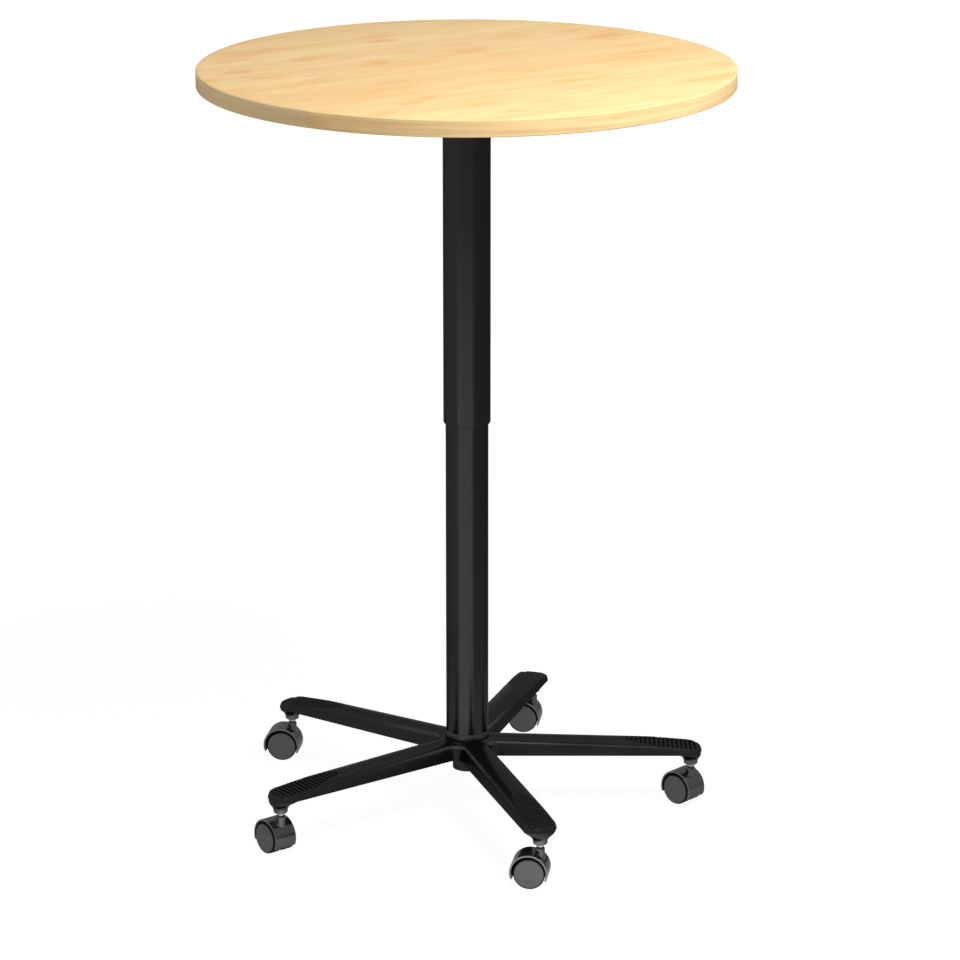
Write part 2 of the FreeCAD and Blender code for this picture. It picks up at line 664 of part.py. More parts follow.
def star_base():
    """One casting: five crowned, drafted arms with flat foot pads, and the column's hub."""
    body = new_body("star_base")
    at_bottom = raised("arm_bottom")
    at_tip = Placement(Vector(value("castor_circle"), 0, 0), Rotation())

    # flared boss for the castor's socket, trimmed to the arm's outline
    flare = new_sketch(body, "socket_boss", "XZ_Plane", at_tip)
    draw_loop(flare, [
        ("0", "socket_boss_bottom"), ("socket_boss_radius", "socket_boss_bottom"),
        ("socket_boss_radius", "socket_flare_start", "-socket_flare_radius"),
        ("socket_boss_radius + socket_flare_width", "arm_bottom - socket_flare_land"),
        ("socket_boss_radius + socket_flare_width", "arm_bottom"), ("0", "arm_bottom"),
    ])
    turn(body, "Revolution", flare)
    trim = new_sketch(body, "boss_trim", "XY_Plane", at_bottom)
    draw_loop(trim, [("arm_side_end - boss_trim_half", "-boss_trim_half"),
                     ("arm_side_end + boss_trim_half", "-boss_trim_half"),
                     ("arm_side_end + boss_trim_half", "boss_trim_half"),
                     ("arm_side_end - boss_trim_half", "boss_trim_half")])
    draw_loop(trim, [("arm_side_end - boss_trim_start", "-arm_tip_half_width"),
                     *arm_outline()[1:5],
                     ("arm_side_end - boss_trim_start", "arm_tip_half_width")])
    extrude(body, "Pocket", trim, "arm_bottom - socket_boss_bottom")

    # drafted arm, crowned on top, with the sloping facet of the foot pad
    plan = new_sketch(body, "arm_plan", "XY_Plane", at_bottom)
    draw_loop(plan, arm_outline())
    extrude(body, "Pad", plan, "arm_block_height", draft="-arm_draft")
    tilt = Placement(Vector(), Rotation(Vector(1, 0, 0), value("crown_slope")))
    crown = new_sketch(body, "crown", "YZ_Plane", tilt)
    drop = "(crown_radius - sqrt(crown_radius ^ 2 - crown_half_width ^ 2))"
    shoulder = f"(crown_start_height - {drop})"
    draw_loop(crown, [
        ("crown_half_width", shoulder, "crown_radius"), ("-crown_half_width", shoulder),
        ("-crown_half_width", "crown_start_height + crown_cut_height"),
        ("crown_half_width", "crown_start_height + crown_cut_height"),
    ])
    extrude(body, "Pocket", crown, "3 * arm_side_end", both_ways=True)
    pad_sketch = new_sketch(body, "foot_pad", "XZ_Plane")
    draw_loop(pad_sketch, [
        ("pad_start - pad_cut_back", "pad_start_height + pad_cut_back * tan(pad_slope)"),
        ("pad_start + pad_cut_reach", "pad_start_height - pad_cut_reach * tan(pad_slope)"),
        ("pad_start + pad_cut_reach", "crown_start_height + crown_cut_height"),
        ("pad_start - pad_cut_back", "crown_start_height + crown_cut_height"),
    ])
    extrude(body, "Pocket", pad_sketch, "4 * arm_half_width", both_ways=True)

    # hollow cells between ribs under the arm, and the bore for the socket
    cells = new_sketch(body, "cells", "XY_Plane", at_bottom)
    for number in range(UNDERSIDE_CELLS):
        draw_loop(cells, cell(f"cell_start + {number} * (cell_length + rib_thickness)",
                              "cell_length"))
    extrude(body, "Pocket", cells, "cell_depth", reverse=True)
    tip_cells = new_sketch(body, "tip_cells", "XY_Plane", at_bottom)
    for number in range(TIP_CELLS):
        draw_loop(tip_cells, cell(f"tip_cell_start + {number} * (tip_cell_length + rib_thickness)",
                                  "tip_cell_length"))
    extrude(body, "Pocket", tip_cells, "tip_cell_depth", reverse=True)
    socket = new_sketch(body, "socket_bore", "XZ_Plane", at_tip)
    draw_loop(socket, ring("0", "socket_bore", "boss_bottom", "socket_bore_top"))
    turn(body, "Groove", socket)

    # five arms about the column's axis
    doc.recompute()
    pattern = body.newObject("PartDesign::PolarPattern", "five_arms")
    pattern.TransformMode = "Whole shape"
    pattern.Axis = (plan, ["N_Axis"])
    pattern.Angle = 360.0
    pattern.Occurrences = ARM_COUNT
    body.Tip = pattern

    # hub with the boss below it, web between the arms and the stepped bore for the column
    hub = new_sketch(body, "hub", "XZ_Plane")
    draw_loop(hub, [
        ("0", "boss_bottom"), ("boss_radius", "boss_bottom"), ("boss_radius", "hub_step"),
        ("hub_radius", "hub_step"), ("hub_radius", "web_top"),
        ("hub_top_radius", "hub_top"), ("0", "hub_top"),
    ])
    turn(body, "Revolution", hub)
    web = new_sketch(body, "web", "XY_Plane", at_bottom)
    draw_loop(web, web_outline())
    extrude(body, "Pad", web, "web_top - arm_bottom", draft="-arm_draft")
    bore = new_sketch(body, "column_bore", "XZ_Plane")
    stud_hole = "(stud_radius + stud_clearance)"
    draw_loop(bore, [
        ("0", "boss_bottom - bore_overcut"), ("boss_counterbore", "boss_bottom - bore_overcut"),
        ("boss_counterbore", "boss_floor"), (stud_hole, "boss_floor"),
        (stud_hole, "lower_tube_seat"), (LOWER_RADIUS, "lower_tube_seat"),
        (LOWER_RADIUS, "hub_top + bore_overcut"), ("0", "hub_top + bore_overcut"),
    ])
    turn(body, "Groove", bore)


# ---------------------------------------------------------------- castors

def castor_placement(number):
    """Frame of a castor: on its stem's axis, +X towards the side that trails."""
    angle = math.radians(number * ARM_STEP)
    reach = value("castor_circle")
    return Placement(Vector(reach * math.cos(angle), reach * math.sin(angle), 0),
                     Rotation(Vector(0, 0, 1), CASTOR_TRAIL[number]))


def castor_socket(number):
    """Flanged sleeve pressed into the arm's tip."""
    turned_part(f"castor_socket_{number + 1}", [
        ("stem_pin_radius", "sleeve_bottom"),
        ("sleeve_flange_radius - sleeve_bevel", "sleeve_bottom"),
        ("sleeve_flange_radius", "sleeve_bottom + sleeve_bevel"),
        ("sleeve_flange_radius", "socket_boss_bottom"),
        ("socket_bore", "socket_boss_bottom"),
        ("socket_bore", "sleeve_top"),
        ("stem_pin_radius", "sleeve_top"),
    ], castor_placement(number))


def castor_stem(number):
    """Steel stem: grip pin with a ring groove, flange, swivel shaft and a snap tip."""
    neck = "(stem_pin_radius - stem_ring_groove)"
    groove = "(stem_pin_top - stem_ring_place)"
    turned_part(f"castor_stem_{number + 1}", [
        ("0", "stem_tip_bottom"), ("stem_tip_radius", "stem_tip_bottom"),
        ("stem_tip_radius", "stem_shaft_bottom"), ("stem_shaft_radius", "stem_shaft_bottom"),
        ("stem_shaft_radius", "stem_flange_bottom"), ("stem_flange_radius", "stem_flange_bottom"),
        ("stem_flange_radius", "sleeve_bottom"), ("stem_pin_radius", "sleeve_bottom"),
        ("stem_pin_radius", f"{groove} - stem_ring_width"), (neck, f"{groove} - stem_ring_width"),
        (neck, groove), ("stem_pin_radius", groove),
        ("stem_pin_radius", "stem_pin_top - stem_pin_bevel"),
        ("stem_pin_radius - stem_pin_bevel", "stem_pin_top"), ("0", "stem_pin_top"),
    ], castor_placement(number))


def hood_point(angle):
    """Point on the hood's outer arc at an angle in degrees."""
    return (f"hood_centre_offset + hood_radius * cos({angle})",
            f"axle_height + hood_radius * sin({angle})")


def castor_hood(number):
    """Moulded hood over both wheels: shell, central web with the axle's eye, and neck."""
    body = new_body(f"castor_hood_{number + 1}")
    block = new_sketch(body, "block", "XZ_Plane")
    draw_loop(block, [
        (*hood_point("-hood_front_angle"), "hood_radius"),
        (*hood_point("90"), "hood_radius"),
        hood_point("180 + hood_back_angle"),
        ("axle_offset - hood_hub_half_length", "hood_hub_bottom"),
        ("axle_offset + hood_hub_half_length", "hood_hub_bottom"),
    ])
    extrude(body, "Pad", block, "2 * hood_half_width", both_ways=True)
    neck = new_sketch(body, "neck", "XZ_Plane")
    draw_loop(neck, ring("0", "neck_radius", "neck_bottom", "neck_top"))
    turn(body, "Revolution", neck)

    # room for the wheels on both sides of the web
    for facing in (1, -1):
        place = Placement(Vector(0, 0, facing * value("hood_web_half")), Rotation())
        room = new_sketch(body, "wheel_room", "XZ_Plane", place)
        draw_circle(room, "hood_centre_offset", "axle_height", "hood_radius - hood_wall")
        extrude(body, "Pocket", room, "hood_half_width", reverse=facing > 0)

    # stepped hole for the stem and the axle's eye
    hole = new_sketch(body, "stem_hole", "XZ_Plane")
    shaft = "(stem_shaft_radius + running_gap)"
    tip = "(stem_tip_radius + running_gap)"
    draw_loop(hole, [
        ("0", "stem_tip_bottom - stem_tip_room"), (tip, "stem_tip_bottom - stem_tip_room"),
        (tip, "stem_shaft_bottom - running_gap"), (shaft, "stem_shaft_bottom - running_gap"),
        (shaft, "neck_top - neck_mouth_depth"),
        ("neck_mouth_radius", "neck_top - neck_mouth_depth + neck_mouth_bevel"),
        ("neck_mouth_radius", "neck_top + neck_mouth_bevel"), ("0", "neck_top + neck_mouth_bevel"),
    ])
    turn(body, "Groove", hole)
    eye = new_sketch(body, "axle_eye", "XZ_Plane")
    draw_circle(eye, "axle_offset", "axle_height", "axle_radius")
    extrude(body, "Pocket", eye, "2 * hood_half_width", both_ways=True)
    body.Placement = castor_placement(number)


def castor_wheel(number, letter, facing):
    """Dished wheel with a closed, slightly domed face and a blind bore for the axle."""
    bore = "(axle_radius + running_gap)"
    face = "wheel_width"
    rim = "(wheel_radius - wheel_rim_thickness)"
    hollow = "(wheel_width - wheel_web_thickness)"
    flat = "(wheel_radius - wheel_rounding)"
    dome_radius = f"(({flat} ^ 2 + wheel_dome ^ 2) / (2 * wheel_dome))"
    upright = Placement(Vector(value("axle_offset"), facing * value("wheel_inner_face"),
                               value("axle_height")),
                        Rotation(Vector(1, 0, 0), -90 * facing))
    turned_part(f"castor_wheel_{number + 1}{letter}", [
        (bore, "0"), ("wheel_hub_radius", "0"), ("wheel_hub_radius", hollow), (rim, hollow),
        (rim, "0"), ("wheel_radius - wheel_bevel", "0"), ("wheel_radius", "wheel_bevel"),
        ("wheel_radius", f"{face} - wheel_rounding", "wheel_rounding"),
        (flat, face, dome_radius),
        ("0", f"{face} + wheel_dome"), ("0", "wheel_bore_depth"), (bore, "wheel_bore_depth"),
    ], castor_placement(number).multiply(upright))


def castor_axle(number):
    """Steel axle through the hood's web."""
    lying = Placement(Vector(value("axle_offset"), 0, value("axle_height")),
                      Rotation(Vector(1, 0, 0), 90))
    turned_part(f"castor_axle_{number + 1}",
                ring("0", "axle_radius", "-axle_half_length", "axle_half_length"),
                castor_placement(number).multiply(lying))


# ---------------------------------------------------------------- build, test and write

tabletop_board()
edge_band()
mounting_plate()
plate_screws()
release_lever()
lever_grip()
lever_pivot_pin()
upper_tube()
lower_tube()
lower_glide_bush()
upper_glide_bush()
column_collar()
gas_spring_cylinder()
piston_rod()
release_pin()
column_fasteners()
star_base()
for arm in range(ARM_COUNT):
    castor_socket(arm)
    castor_stem(arm)
    castor_hood(arm)
    castor_wheel(arm, "a", 1)
    castor_wheel(arm, "b", -1)
    castor_axle(arm)
doc.recompute()

faults = [f"{item.Name} of {item.getParentGeoFeatureGroup().Label}: {item.getStatusString()}"
          for item in doc.Objects if "Invalid" in item.State or "Error" in item.State]
faults += [f"{node.Label}: bad shape" for node in nodes
           if node.Shape.isNull() or not node.Shape.isValid()]
if faults:
    raise SystemExit("\n".join(faults))
for node in nodes:
    node.Shape.exportStep(f"parts/{node.Label}.step")
    box = node.Shape.BoundBox
    print(f"{node.Label}: {len(node.Shape.Solids)} solid(s), {node.Shape.Volume / 1000:.1f} cm3, "
          f"x {box.XMin:.1f}..{box.XMax:.1f}, y {box.YMin:.1f}..{box.YMax:.1f}, "
          f"z {box.ZMin:.1f}..{box.ZMax:.1f}")
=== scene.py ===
import json
import math

import bmesh
import bpy
import numpy as np
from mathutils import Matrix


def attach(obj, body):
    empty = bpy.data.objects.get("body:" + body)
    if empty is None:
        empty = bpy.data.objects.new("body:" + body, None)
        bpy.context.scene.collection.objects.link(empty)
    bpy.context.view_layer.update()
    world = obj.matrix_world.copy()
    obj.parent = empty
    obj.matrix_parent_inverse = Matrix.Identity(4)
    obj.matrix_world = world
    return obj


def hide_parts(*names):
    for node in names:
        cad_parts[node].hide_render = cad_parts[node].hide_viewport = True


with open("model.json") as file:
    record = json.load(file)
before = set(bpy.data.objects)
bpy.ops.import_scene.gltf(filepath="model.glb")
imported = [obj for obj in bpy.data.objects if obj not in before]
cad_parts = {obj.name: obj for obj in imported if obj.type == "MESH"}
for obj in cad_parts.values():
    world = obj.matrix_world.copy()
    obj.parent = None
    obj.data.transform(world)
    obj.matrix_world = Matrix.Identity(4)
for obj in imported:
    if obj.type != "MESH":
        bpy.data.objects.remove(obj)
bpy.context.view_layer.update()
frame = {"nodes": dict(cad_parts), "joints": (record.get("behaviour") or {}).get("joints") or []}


# ------------------------------------------------------------------ star base
# One die-cast piece: five crowned arms, 72 degrees apart, with drafted sides and a ribbed flat
# foot pad at each tip. It has a hub with a boss below and a flared boss under each tip, is
# hollow between ribs underneath, and is powder coated black all over.

ARM_STEP = math.radians(72)
BASE_LOW = 0.0875
FOOT_ROUNDING = 0.0006
ARM_HALF = 0.0250
ARM_TIP_HALF = 0.0268
SIDE_END = 0.343
TIP_SIDE_RADIUS = 0.019
TIP_FRONT_RADIUS = 0.030
DRAFT = math.tan(math.radians(15))
RIM_ROUNDING = 0.0032
CROTCH_CENTRE = 0.0595
CROTCH_RADIUS = 0.0097
CROWN_RADIUS = 0.050
RIDGE_START = 0.1147
RIDGE_SLOPE = 0.0265
PAD_START = 0.240
PAD_HEIGHT = 0.1083
PAD_SLOPE = 0.106
PAD_CREASE = 0.0004
PAD_MARGIN = (0.0001, 0.0004)
RIBBED_START = 0.238
GROOVE_PITCH = 0.0070
GROOVE_FLOOR = 0.00115
GROOVE_LIP = 0.00175
GROOVE_DEPTH = 0.0022
GROOVE_SIDE = (0.0185, 0.0215)
GROOVE_FRONT = (0.3590, 0.3605)
WEB_TOP = 0.1087
WEB_NEAR = 0.055
WEB_FAR = 0.075
HUB_TOP = 0.1139
HUB_LIMIT = HUB_TOP + 0.0001
HUB_TOP_RADIUS = 0.0355
HUB_RADIUS = 0.0430
HUB_CREASE = 0.0008
HUB_FLOOR = 0.092
COLUMN_BORE = 0.03265
SPRING_BORE = 0.0082
COUNTERBORE = 0.016
COUNTERBORE_TOP = 0.076
BOSS_RADIUS = 0.0228
BOSS_LOW = 0.0604

# cells under an arm: side walls, and for each row the depth, start, end, first rib and pitch
CELL_SIDE = (0.0150, 0.0180)
CELL_EDGE = 0.003
CELL_ROWS = [(0.015, 0.061, 0.234, 0.062, 0.058), (0.006, 0.245, 0.327, 0.246, 0.042)]
RIB_SETBACK = 0.002
RIB_HALF = (0.0018, 0.0036)

# flared boss under a tip, and the bore for the castor's sleeve in it
CASTOR_CIRCLE = 0.34809
FLARE_TOP = 0.0885
FLARE_START = 0.0690
FLARE_LEVELS = np.concatenate([np.linspace(FLARE_TOP, 0.0700, 20), [0.0683, 0.0678, 0.0675]])
FLARE_RADIUS = 0.0110
FLARE_SPREAD = 0.0220
FLARE_POWER = 2.2
FLARE_LIP = (0.0109, 0.0104)
FLARE_LIMIT = 0.034
FLARE_INSET = 0.0012
FLARE_BLEND = 0.0016
FLARE_SIDE_START = 0.250
SLEEVE_BORE = [(0.0082, 0.0675), (0.0080, FLARE_START), (0.0080, FLARE_TOP)]

# fineness of the mesh
ACROSS = 33
CROTCH_STEPS = 13
PLAIN_STATIONS = 40
PLAIN_GAP = 0.004
TIP_ROWS = 37
HUB_RINGS = 9
RIM_PASSES = 6
WALL_SHARES = (0.05, 0.3, 0.6, 0.95, 1.0)
FLARE_STEPS = 96
MERGE_DISTANCE = 1e-6
SHARP_ANGLE = math.radians(35)

# painted highlight on the rim's bend, row by row, fading away from the hub, and the bosses' coat
# made lighter towards the bottom
RIM_HIGHLIGHT = 0.4 * np.array([0.3, 0.8, 1.0, 1.0, 0.8, 0.3])
RIM_HIGHLIGHT_REACH = (0.06, 0.20)
FLARE_LIGHTER_BELOW = (0.068, 0.084)


def add_piece(name, verts, faces, body, replaced):
    """A mesh from a vertex array and a list of quad arrays, riding on a CAD body in place of
    the CAD nodes that it replaces."""
    mesh = bpy.data.meshes.new(name)
    corners = np.concatenate([np.asarray(block, int).ravel() for block in faces])
    sizes = np.concatenate([np.full(len(block), np.shape(block)[1]) for block in faces])
    starts = np.concatenate([[0], np.cumsum(sizes)[:-1]])
    mesh.vertices.add(len(verts))
    mesh.vertices.foreach_set("co", np.asarray(verts, np.float32).ravel())
    mesh.loops.add(len(corners))
    mesh.loops.foreach_set("vertex_index", corners.astype(np.int32))
    mesh.polygons.add(len(sizes))
    mesh.polygons.foreach_set("loop_start", starts.astype(np.int32))
    mesh.polygons.foreach_set("use_smooth", np.ones(len(sizes), bool))
    mesh.update(calc_edges=True)
    mesh.validate()
    piece = bpy.data.objects.new(name, mesh)
    bpy.context.scene.collection.objects.link(piece)
    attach(piece, body)
    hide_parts(*replaced)
    return piece


def grid_faces(rows, columns, first=0, wrap_rows=False, wrap_columns=False):
    """Quads of a grid stored row after row, closed round on itself where wanted."""
    index = first + np.arange(rows * columns).reshape(rows, columns)
    if wrap_rows:
        index = np.vstack([index, index[:1]])
    if wrap_columns:
        index = np.hstack([index, index[:, :1]])
    return np.stack([index[:-1, :-1], index[:-1, 1:], index[1:, 1:], index[1:, :-1]],
                    -1).reshape(-1, 4)


def merge_close(piece, outward=False):
    """Welds vertices that lie on one another, turns the faces outward where asked, and keeps
    the shading of crisp edges apart."""
    shape = bmesh.new()
    shape.from_mesh(piece.data)
    bmesh.ops.remove_doubles(shape, verts=shape.verts, dist=MERGE_DISTANCE)
    if outward:
        bmesh.ops.recalc_face_normals(shape, faces=shape.faces)
    shape.to_mesh(piece.data)
    shape.free()
    piece.data.set_sharp_from_angle(angle=SHARP_ANGLE)


def soft_max(a, b, width):
    """The larger of two heights, with the crease between them rounded over a width."""
    return 0.5 * (a + b + np.sqrt((a - b) ** 2 + width ** 2))


def soft_min(a, b, width):
    """The smaller of two heights, with the crease between them rounded over a width."""
    return 0.5 * (a + b - np.sqrt((a - b) ** 2 + width ** 2))


def smooth_step(value, low, high):
    """0 below low, 1 above high, and an S-shaped rise between them."""
    t = np.clip((value - low) / (high - low), 0, 1)
    return t * t * (3 - 2 * t)


def arm_place(plan):
    """Distance of plan points along the nearest arm's middle line, and across it."""
    turn = np.round(np.arctan2(plan[:, 1], plan[:, 0]) / ARM_STEP) * ARM_STEP
    s = plan[:, 0] * np.cos(turn) + plan[:, 1] * np.sin(turn)
    w = -plan[:, 0] * np.sin(turn) + plan[:, 1] * np.cos(turn)
    return s, w


def crown_height(s, w):
    """Ridge falling along the arm, less the sagitta of a circular arc across it."""
    sagitta = CROWN_RADIUS - np.sqrt(np.maximum(CROWN_RADIUS ** 2 - w ** 2, 1e-9))
    return RIDGE_START - RIDGE_SLOPE * s - sagitta


def pad_height(s):
    """The foot pad: a flat facet that falls towards the tip."""
    return PAD_HEIGHT - PAD_SLOPE * (s - PAD_START)


def groove_share(s, w):
    """1 in the pad's cross grooves and 0 elsewhere. They run out near the pad's edge."""
    inside = smooth_step(crown_height(s, w) - pad_height(s), *PAD_MARGIN)
    from_middle = np.abs((s / GROOVE_PITCH) % 1 - 0.5) * GROOVE_PITCH
    groove = 1 - smooth_step(from_middle, GROOVE_FLOOR, GROOVE_LIP)
    side = 1 - smooth_step(np.abs(w), *GROOVE_SIDE)
    front = 1 - smooth_step(s, *GROOVE_FRONT)
    return groove * inside * side * front


def arm_top(s, w):
    """The lower of crown and pad, with their crease rounded, less the depth of the grooves."""
    height = soft_min(crown_height(s, w), pad_height(s), PAD_CREASE)
    return height - GROOVE_DEPTH * groove_share(s, w)


def top_height(plan):
    """Arm, flat web and hub cone, whichever is highest, with their creases rounded. Web and
    cone fade out where the crotches end."""
    radius = np.hypot(plan[:, 0], plan[:, 1])
    fall = (HUB_TOP - WEB_TOP) / (HUB_RADIUS - HUB_TOP_RADIUS)
    cone = np.minimum(HUB_TOP - fall * (radius - HUB_TOP_RADIUS), HUB_TOP)
    arm = arm_top(*arm_place(plan))
    webbed = soft_max(soft_max(arm, WEB_TOP, HUB_CREASE), cone, HUB_CREASE)
    near = smooth_step(-radius, -WEB_FAR, -WEB_NEAR)
    return np.minimum(arm + near * (webbed - arm), HUB_LIMIT)


def under_height(plan):
    """The casting's flat foot, raised by the cells' depth between side walls and cross ribs."""
    s, w = arm_place(plan)
    cells = 0
    for depth, start, end, first, pitch in CELL_ROWS:
        row = smooth_step(s, start, start + CELL_EDGE) * (1 - smooth_step(s, end - CELL_EDGE, end))
        from_rib = np.abs((s - first) % pitch - (pitch - RIB_SETBACK))
        cells = cells + depth * row * smooth_step(from_rib, *RIB_HALF)
    return BASE_LOW + (1 - smooth_step(np.abs(w), *CELL_SIDE)) * cells


def arc_points(centre, radius, start, stop, count):
    """Points and outward normals along an arc, from one angle to another."""
    angle = np.linspace(start, stop, count)
    normal = np.stack([np.cos(angle), np.sin(angle)], 1)
    return np.asarray(centre) + radius * normal, normal


def arm_stations():
    """Places along an arm's side. On the pad they lie on the lips and floors of the grooves."""
    tangent = CROTCH_CENTRE * math.cos(ARM_STEP / 2)
    first, last = round(RIBBED_START / GROOVE_PITCH), round(SIDE_END / GROOVE_PITCH)
    middles = (np.arange(first, last) + 0.5) * GROOVE_PITCH
    lips = np.array([-GROOVE_PITCH / 2, -GROOVE_LIP, -GROOVE_FLOOR, 0, GROOVE_FLOOR, GROOVE_LIP])
    ribbed = (middles[:, None] + lips).ravel()
    plain = np.linspace(tangent, ribbed[0] - PLAIN_GAP, PLAIN_STATIONS)
    return np.concatenate([plain, ribbed, [SIDE_END]])


def tip_outline(count):
    """Half an ellipse-like tip from three arcs, right side to left side, with its normals."""
    half = ARM_TIP_HALF
    rise = half - TIP_SIDE_RADIUS
    reach = TIP_FRONT_RADIUS - TIP_SIDE_RADIUS
    front = SIDE_END - math.sqrt(reach ** 2 - rise ** 2)
    join = math.atan2(rise, SIDE_END - front)
    side_count = count // 3
    right = arc_points((SIDE_END, -rise), TIP_SIDE_RADIUS, -math.pi / 2, -join, side_count)
    ahead = arc_points((front, 0), TIP_FRONT_RADIUS, -join, join, count - 2 * side_count + 2)
    left = arc_points((SIDE_END, rise), TIP_SIDE_RADIUS, join, math.pi / 2, side_count)
    points = np.concatenate([right[0], ahead[0][1:-1], left[0]])
    normals = np.concatenate([right[1], ahead[1][1:-1], left[1]])
    return points, normals


stations = arm_stations()
tip_points, tip_normals = tip_outline(ACROSS)
side_half = ARM_HALF + (ARM_TIP_HALF - ARM_HALF) * stations / SIDE_END


def turned(points, angle):
    """Plan points turned about the column's axis."""
    c, s = math.cos(angle), math.sin(angle)
    return np.stack([points[..., 0] * c - points[..., 1] * s,
                     points[..., 0] * s + points[..., 1] * c], -1)


def raised(plan, height):
    """Plan points with a height, or a height each, as their third coordinate."""
    return np.column_stack([plan, np.broadcast_to(height, len(plan))])


def curved(start, corner, end, t):
    """Point at share t of a parabola that leaves start towards corner and ends at end."""
    return (1 - t) ** 2 * start + 2 * t * (1 - t) * corner + t ** 2 * end


def outline_loop():
    """Foot outline of the whole star, counter-clockwise, with outward normals, arm by arm:
    right side outward, tip, left side inward, then the concave crotch arc."""
    right = np.stack([stations, -side_half], 1)
    right_normal = np.tile([0.0, -1.0], (len(stations), 1))
    left = right[::-1] * [1, -1]
    left_normal = right_normal * [1, -1]
    bisector = ARM_STEP / 2
    centre = CROTCH_CENTRE * np.array([math.cos(bisector), math.sin(bisector)])
    start = -math.pi / 2
    stop = ARM_STEP + math.pi / 2 - 2 * math.pi
    angle = np.linspace(start, stop, CROTCH_STEPS + 2)[1:-1]
    ray = np.stack([np.cos(angle), np.sin(angle)], 1)
    crotch = centre + CROTCH_RADIUS * ray
    points = np.concatenate([right, tip_points[1:-1], left, crotch])
    normals = np.concatenate([right_normal, tip_normals[1:-1], left_normal, -ray])
    whole = [turned(points, k * ARM_STEP) for k in range(5)]
    whole_normals = [turned(normals, k * ARM_STEP) for k in range(5)]
    return np.concatenate(whole), np.concatenate(whole_normals)


def inset_plan(points, normals, height, inset=0.0):
    """Outline at a height on the drafted side wall, moved inward by an inset."""
    return points - normals * ((height - BASE_LOW) * DRAFT + inset)[:, None]


def rim_heights(points, normals):
    """Height of the sharp rim, where the side wall meets the top surface, found in a few
    passes, since the wall leans in as it rises."""
    height = np.full(len(points), WEB_TOP)
    for _ in range(RIM_PASSES):
        s, w = arm_place(inset_plan(points, normals, height))
        smooth = np.minimum(crown_height(s, w), pad_height(s))
        height = np.where(s < WEB_FAR, np.maximum(smooth, WEB_TOP), smooth)
    return height


def sheet_of_star(loop):
    """Plan points and faces of a sheet that fills the outline: a strip grid on each arm, a
    cap at each tip, and a fan of rings in the hub, stitched along shared outline points. Also
    the directions from the column's axis in which the hub's points lie."""
    per_arm = len(loop) // 5
    count = len(stations)
    tips = len(tip_points)
    share = np.linspace(0, 1, ACROSS)[:, None]
    toward_tip = np.linspace(0, 1, TIP_ROWS)[1:, None, None]
    blocks, faces, hub_edge = [], [], []
    offset = 0
    for k in range(5):
        arm = loop[k * per_arm:(k + 1) * per_arm]
        right = arm[:count]
        left = arm[count + tips - 2:2 * count + tips - 2][::-1]
        rows = right[:, None] * (1 - share) + left[:, None] * share
        tip = np.concatenate([right[-1:], arm[count:count + tips - 2], left[-1:]])
        cap = rows[-1][None] * (1 - toward_tip) + tip[None] * toward_tip
        grid = np.concatenate([rows, cap])
        blocks.append(grid.reshape(-1, 2))
        faces.append(grid_faces(len(grid), ACROSS, offset)[:, ::-1])
        offset += len(grid) * ACROSS
        hub_edge += [rows[0], arm[2 * count + tips - 2:]]
    edge = np.concatenate(hub_edge)
    direction = edge / np.linalg.norm(edge, axis=1)[:, None]
    outward = np.linspace(0, 1, HUB_RINGS)[:, None, None]
    fan = (direction * COLUMN_BORE)[None] * (1 - outward) + edge[None] * outward
    blocks.append(fan.reshape(-1, 2))
    faces.append(grid_faces(HUB_RINGS, len(edge), offset, wrap_columns=True)[:, ::-1])
    return np.concatenate(blocks), np.concatenate(faces), direction


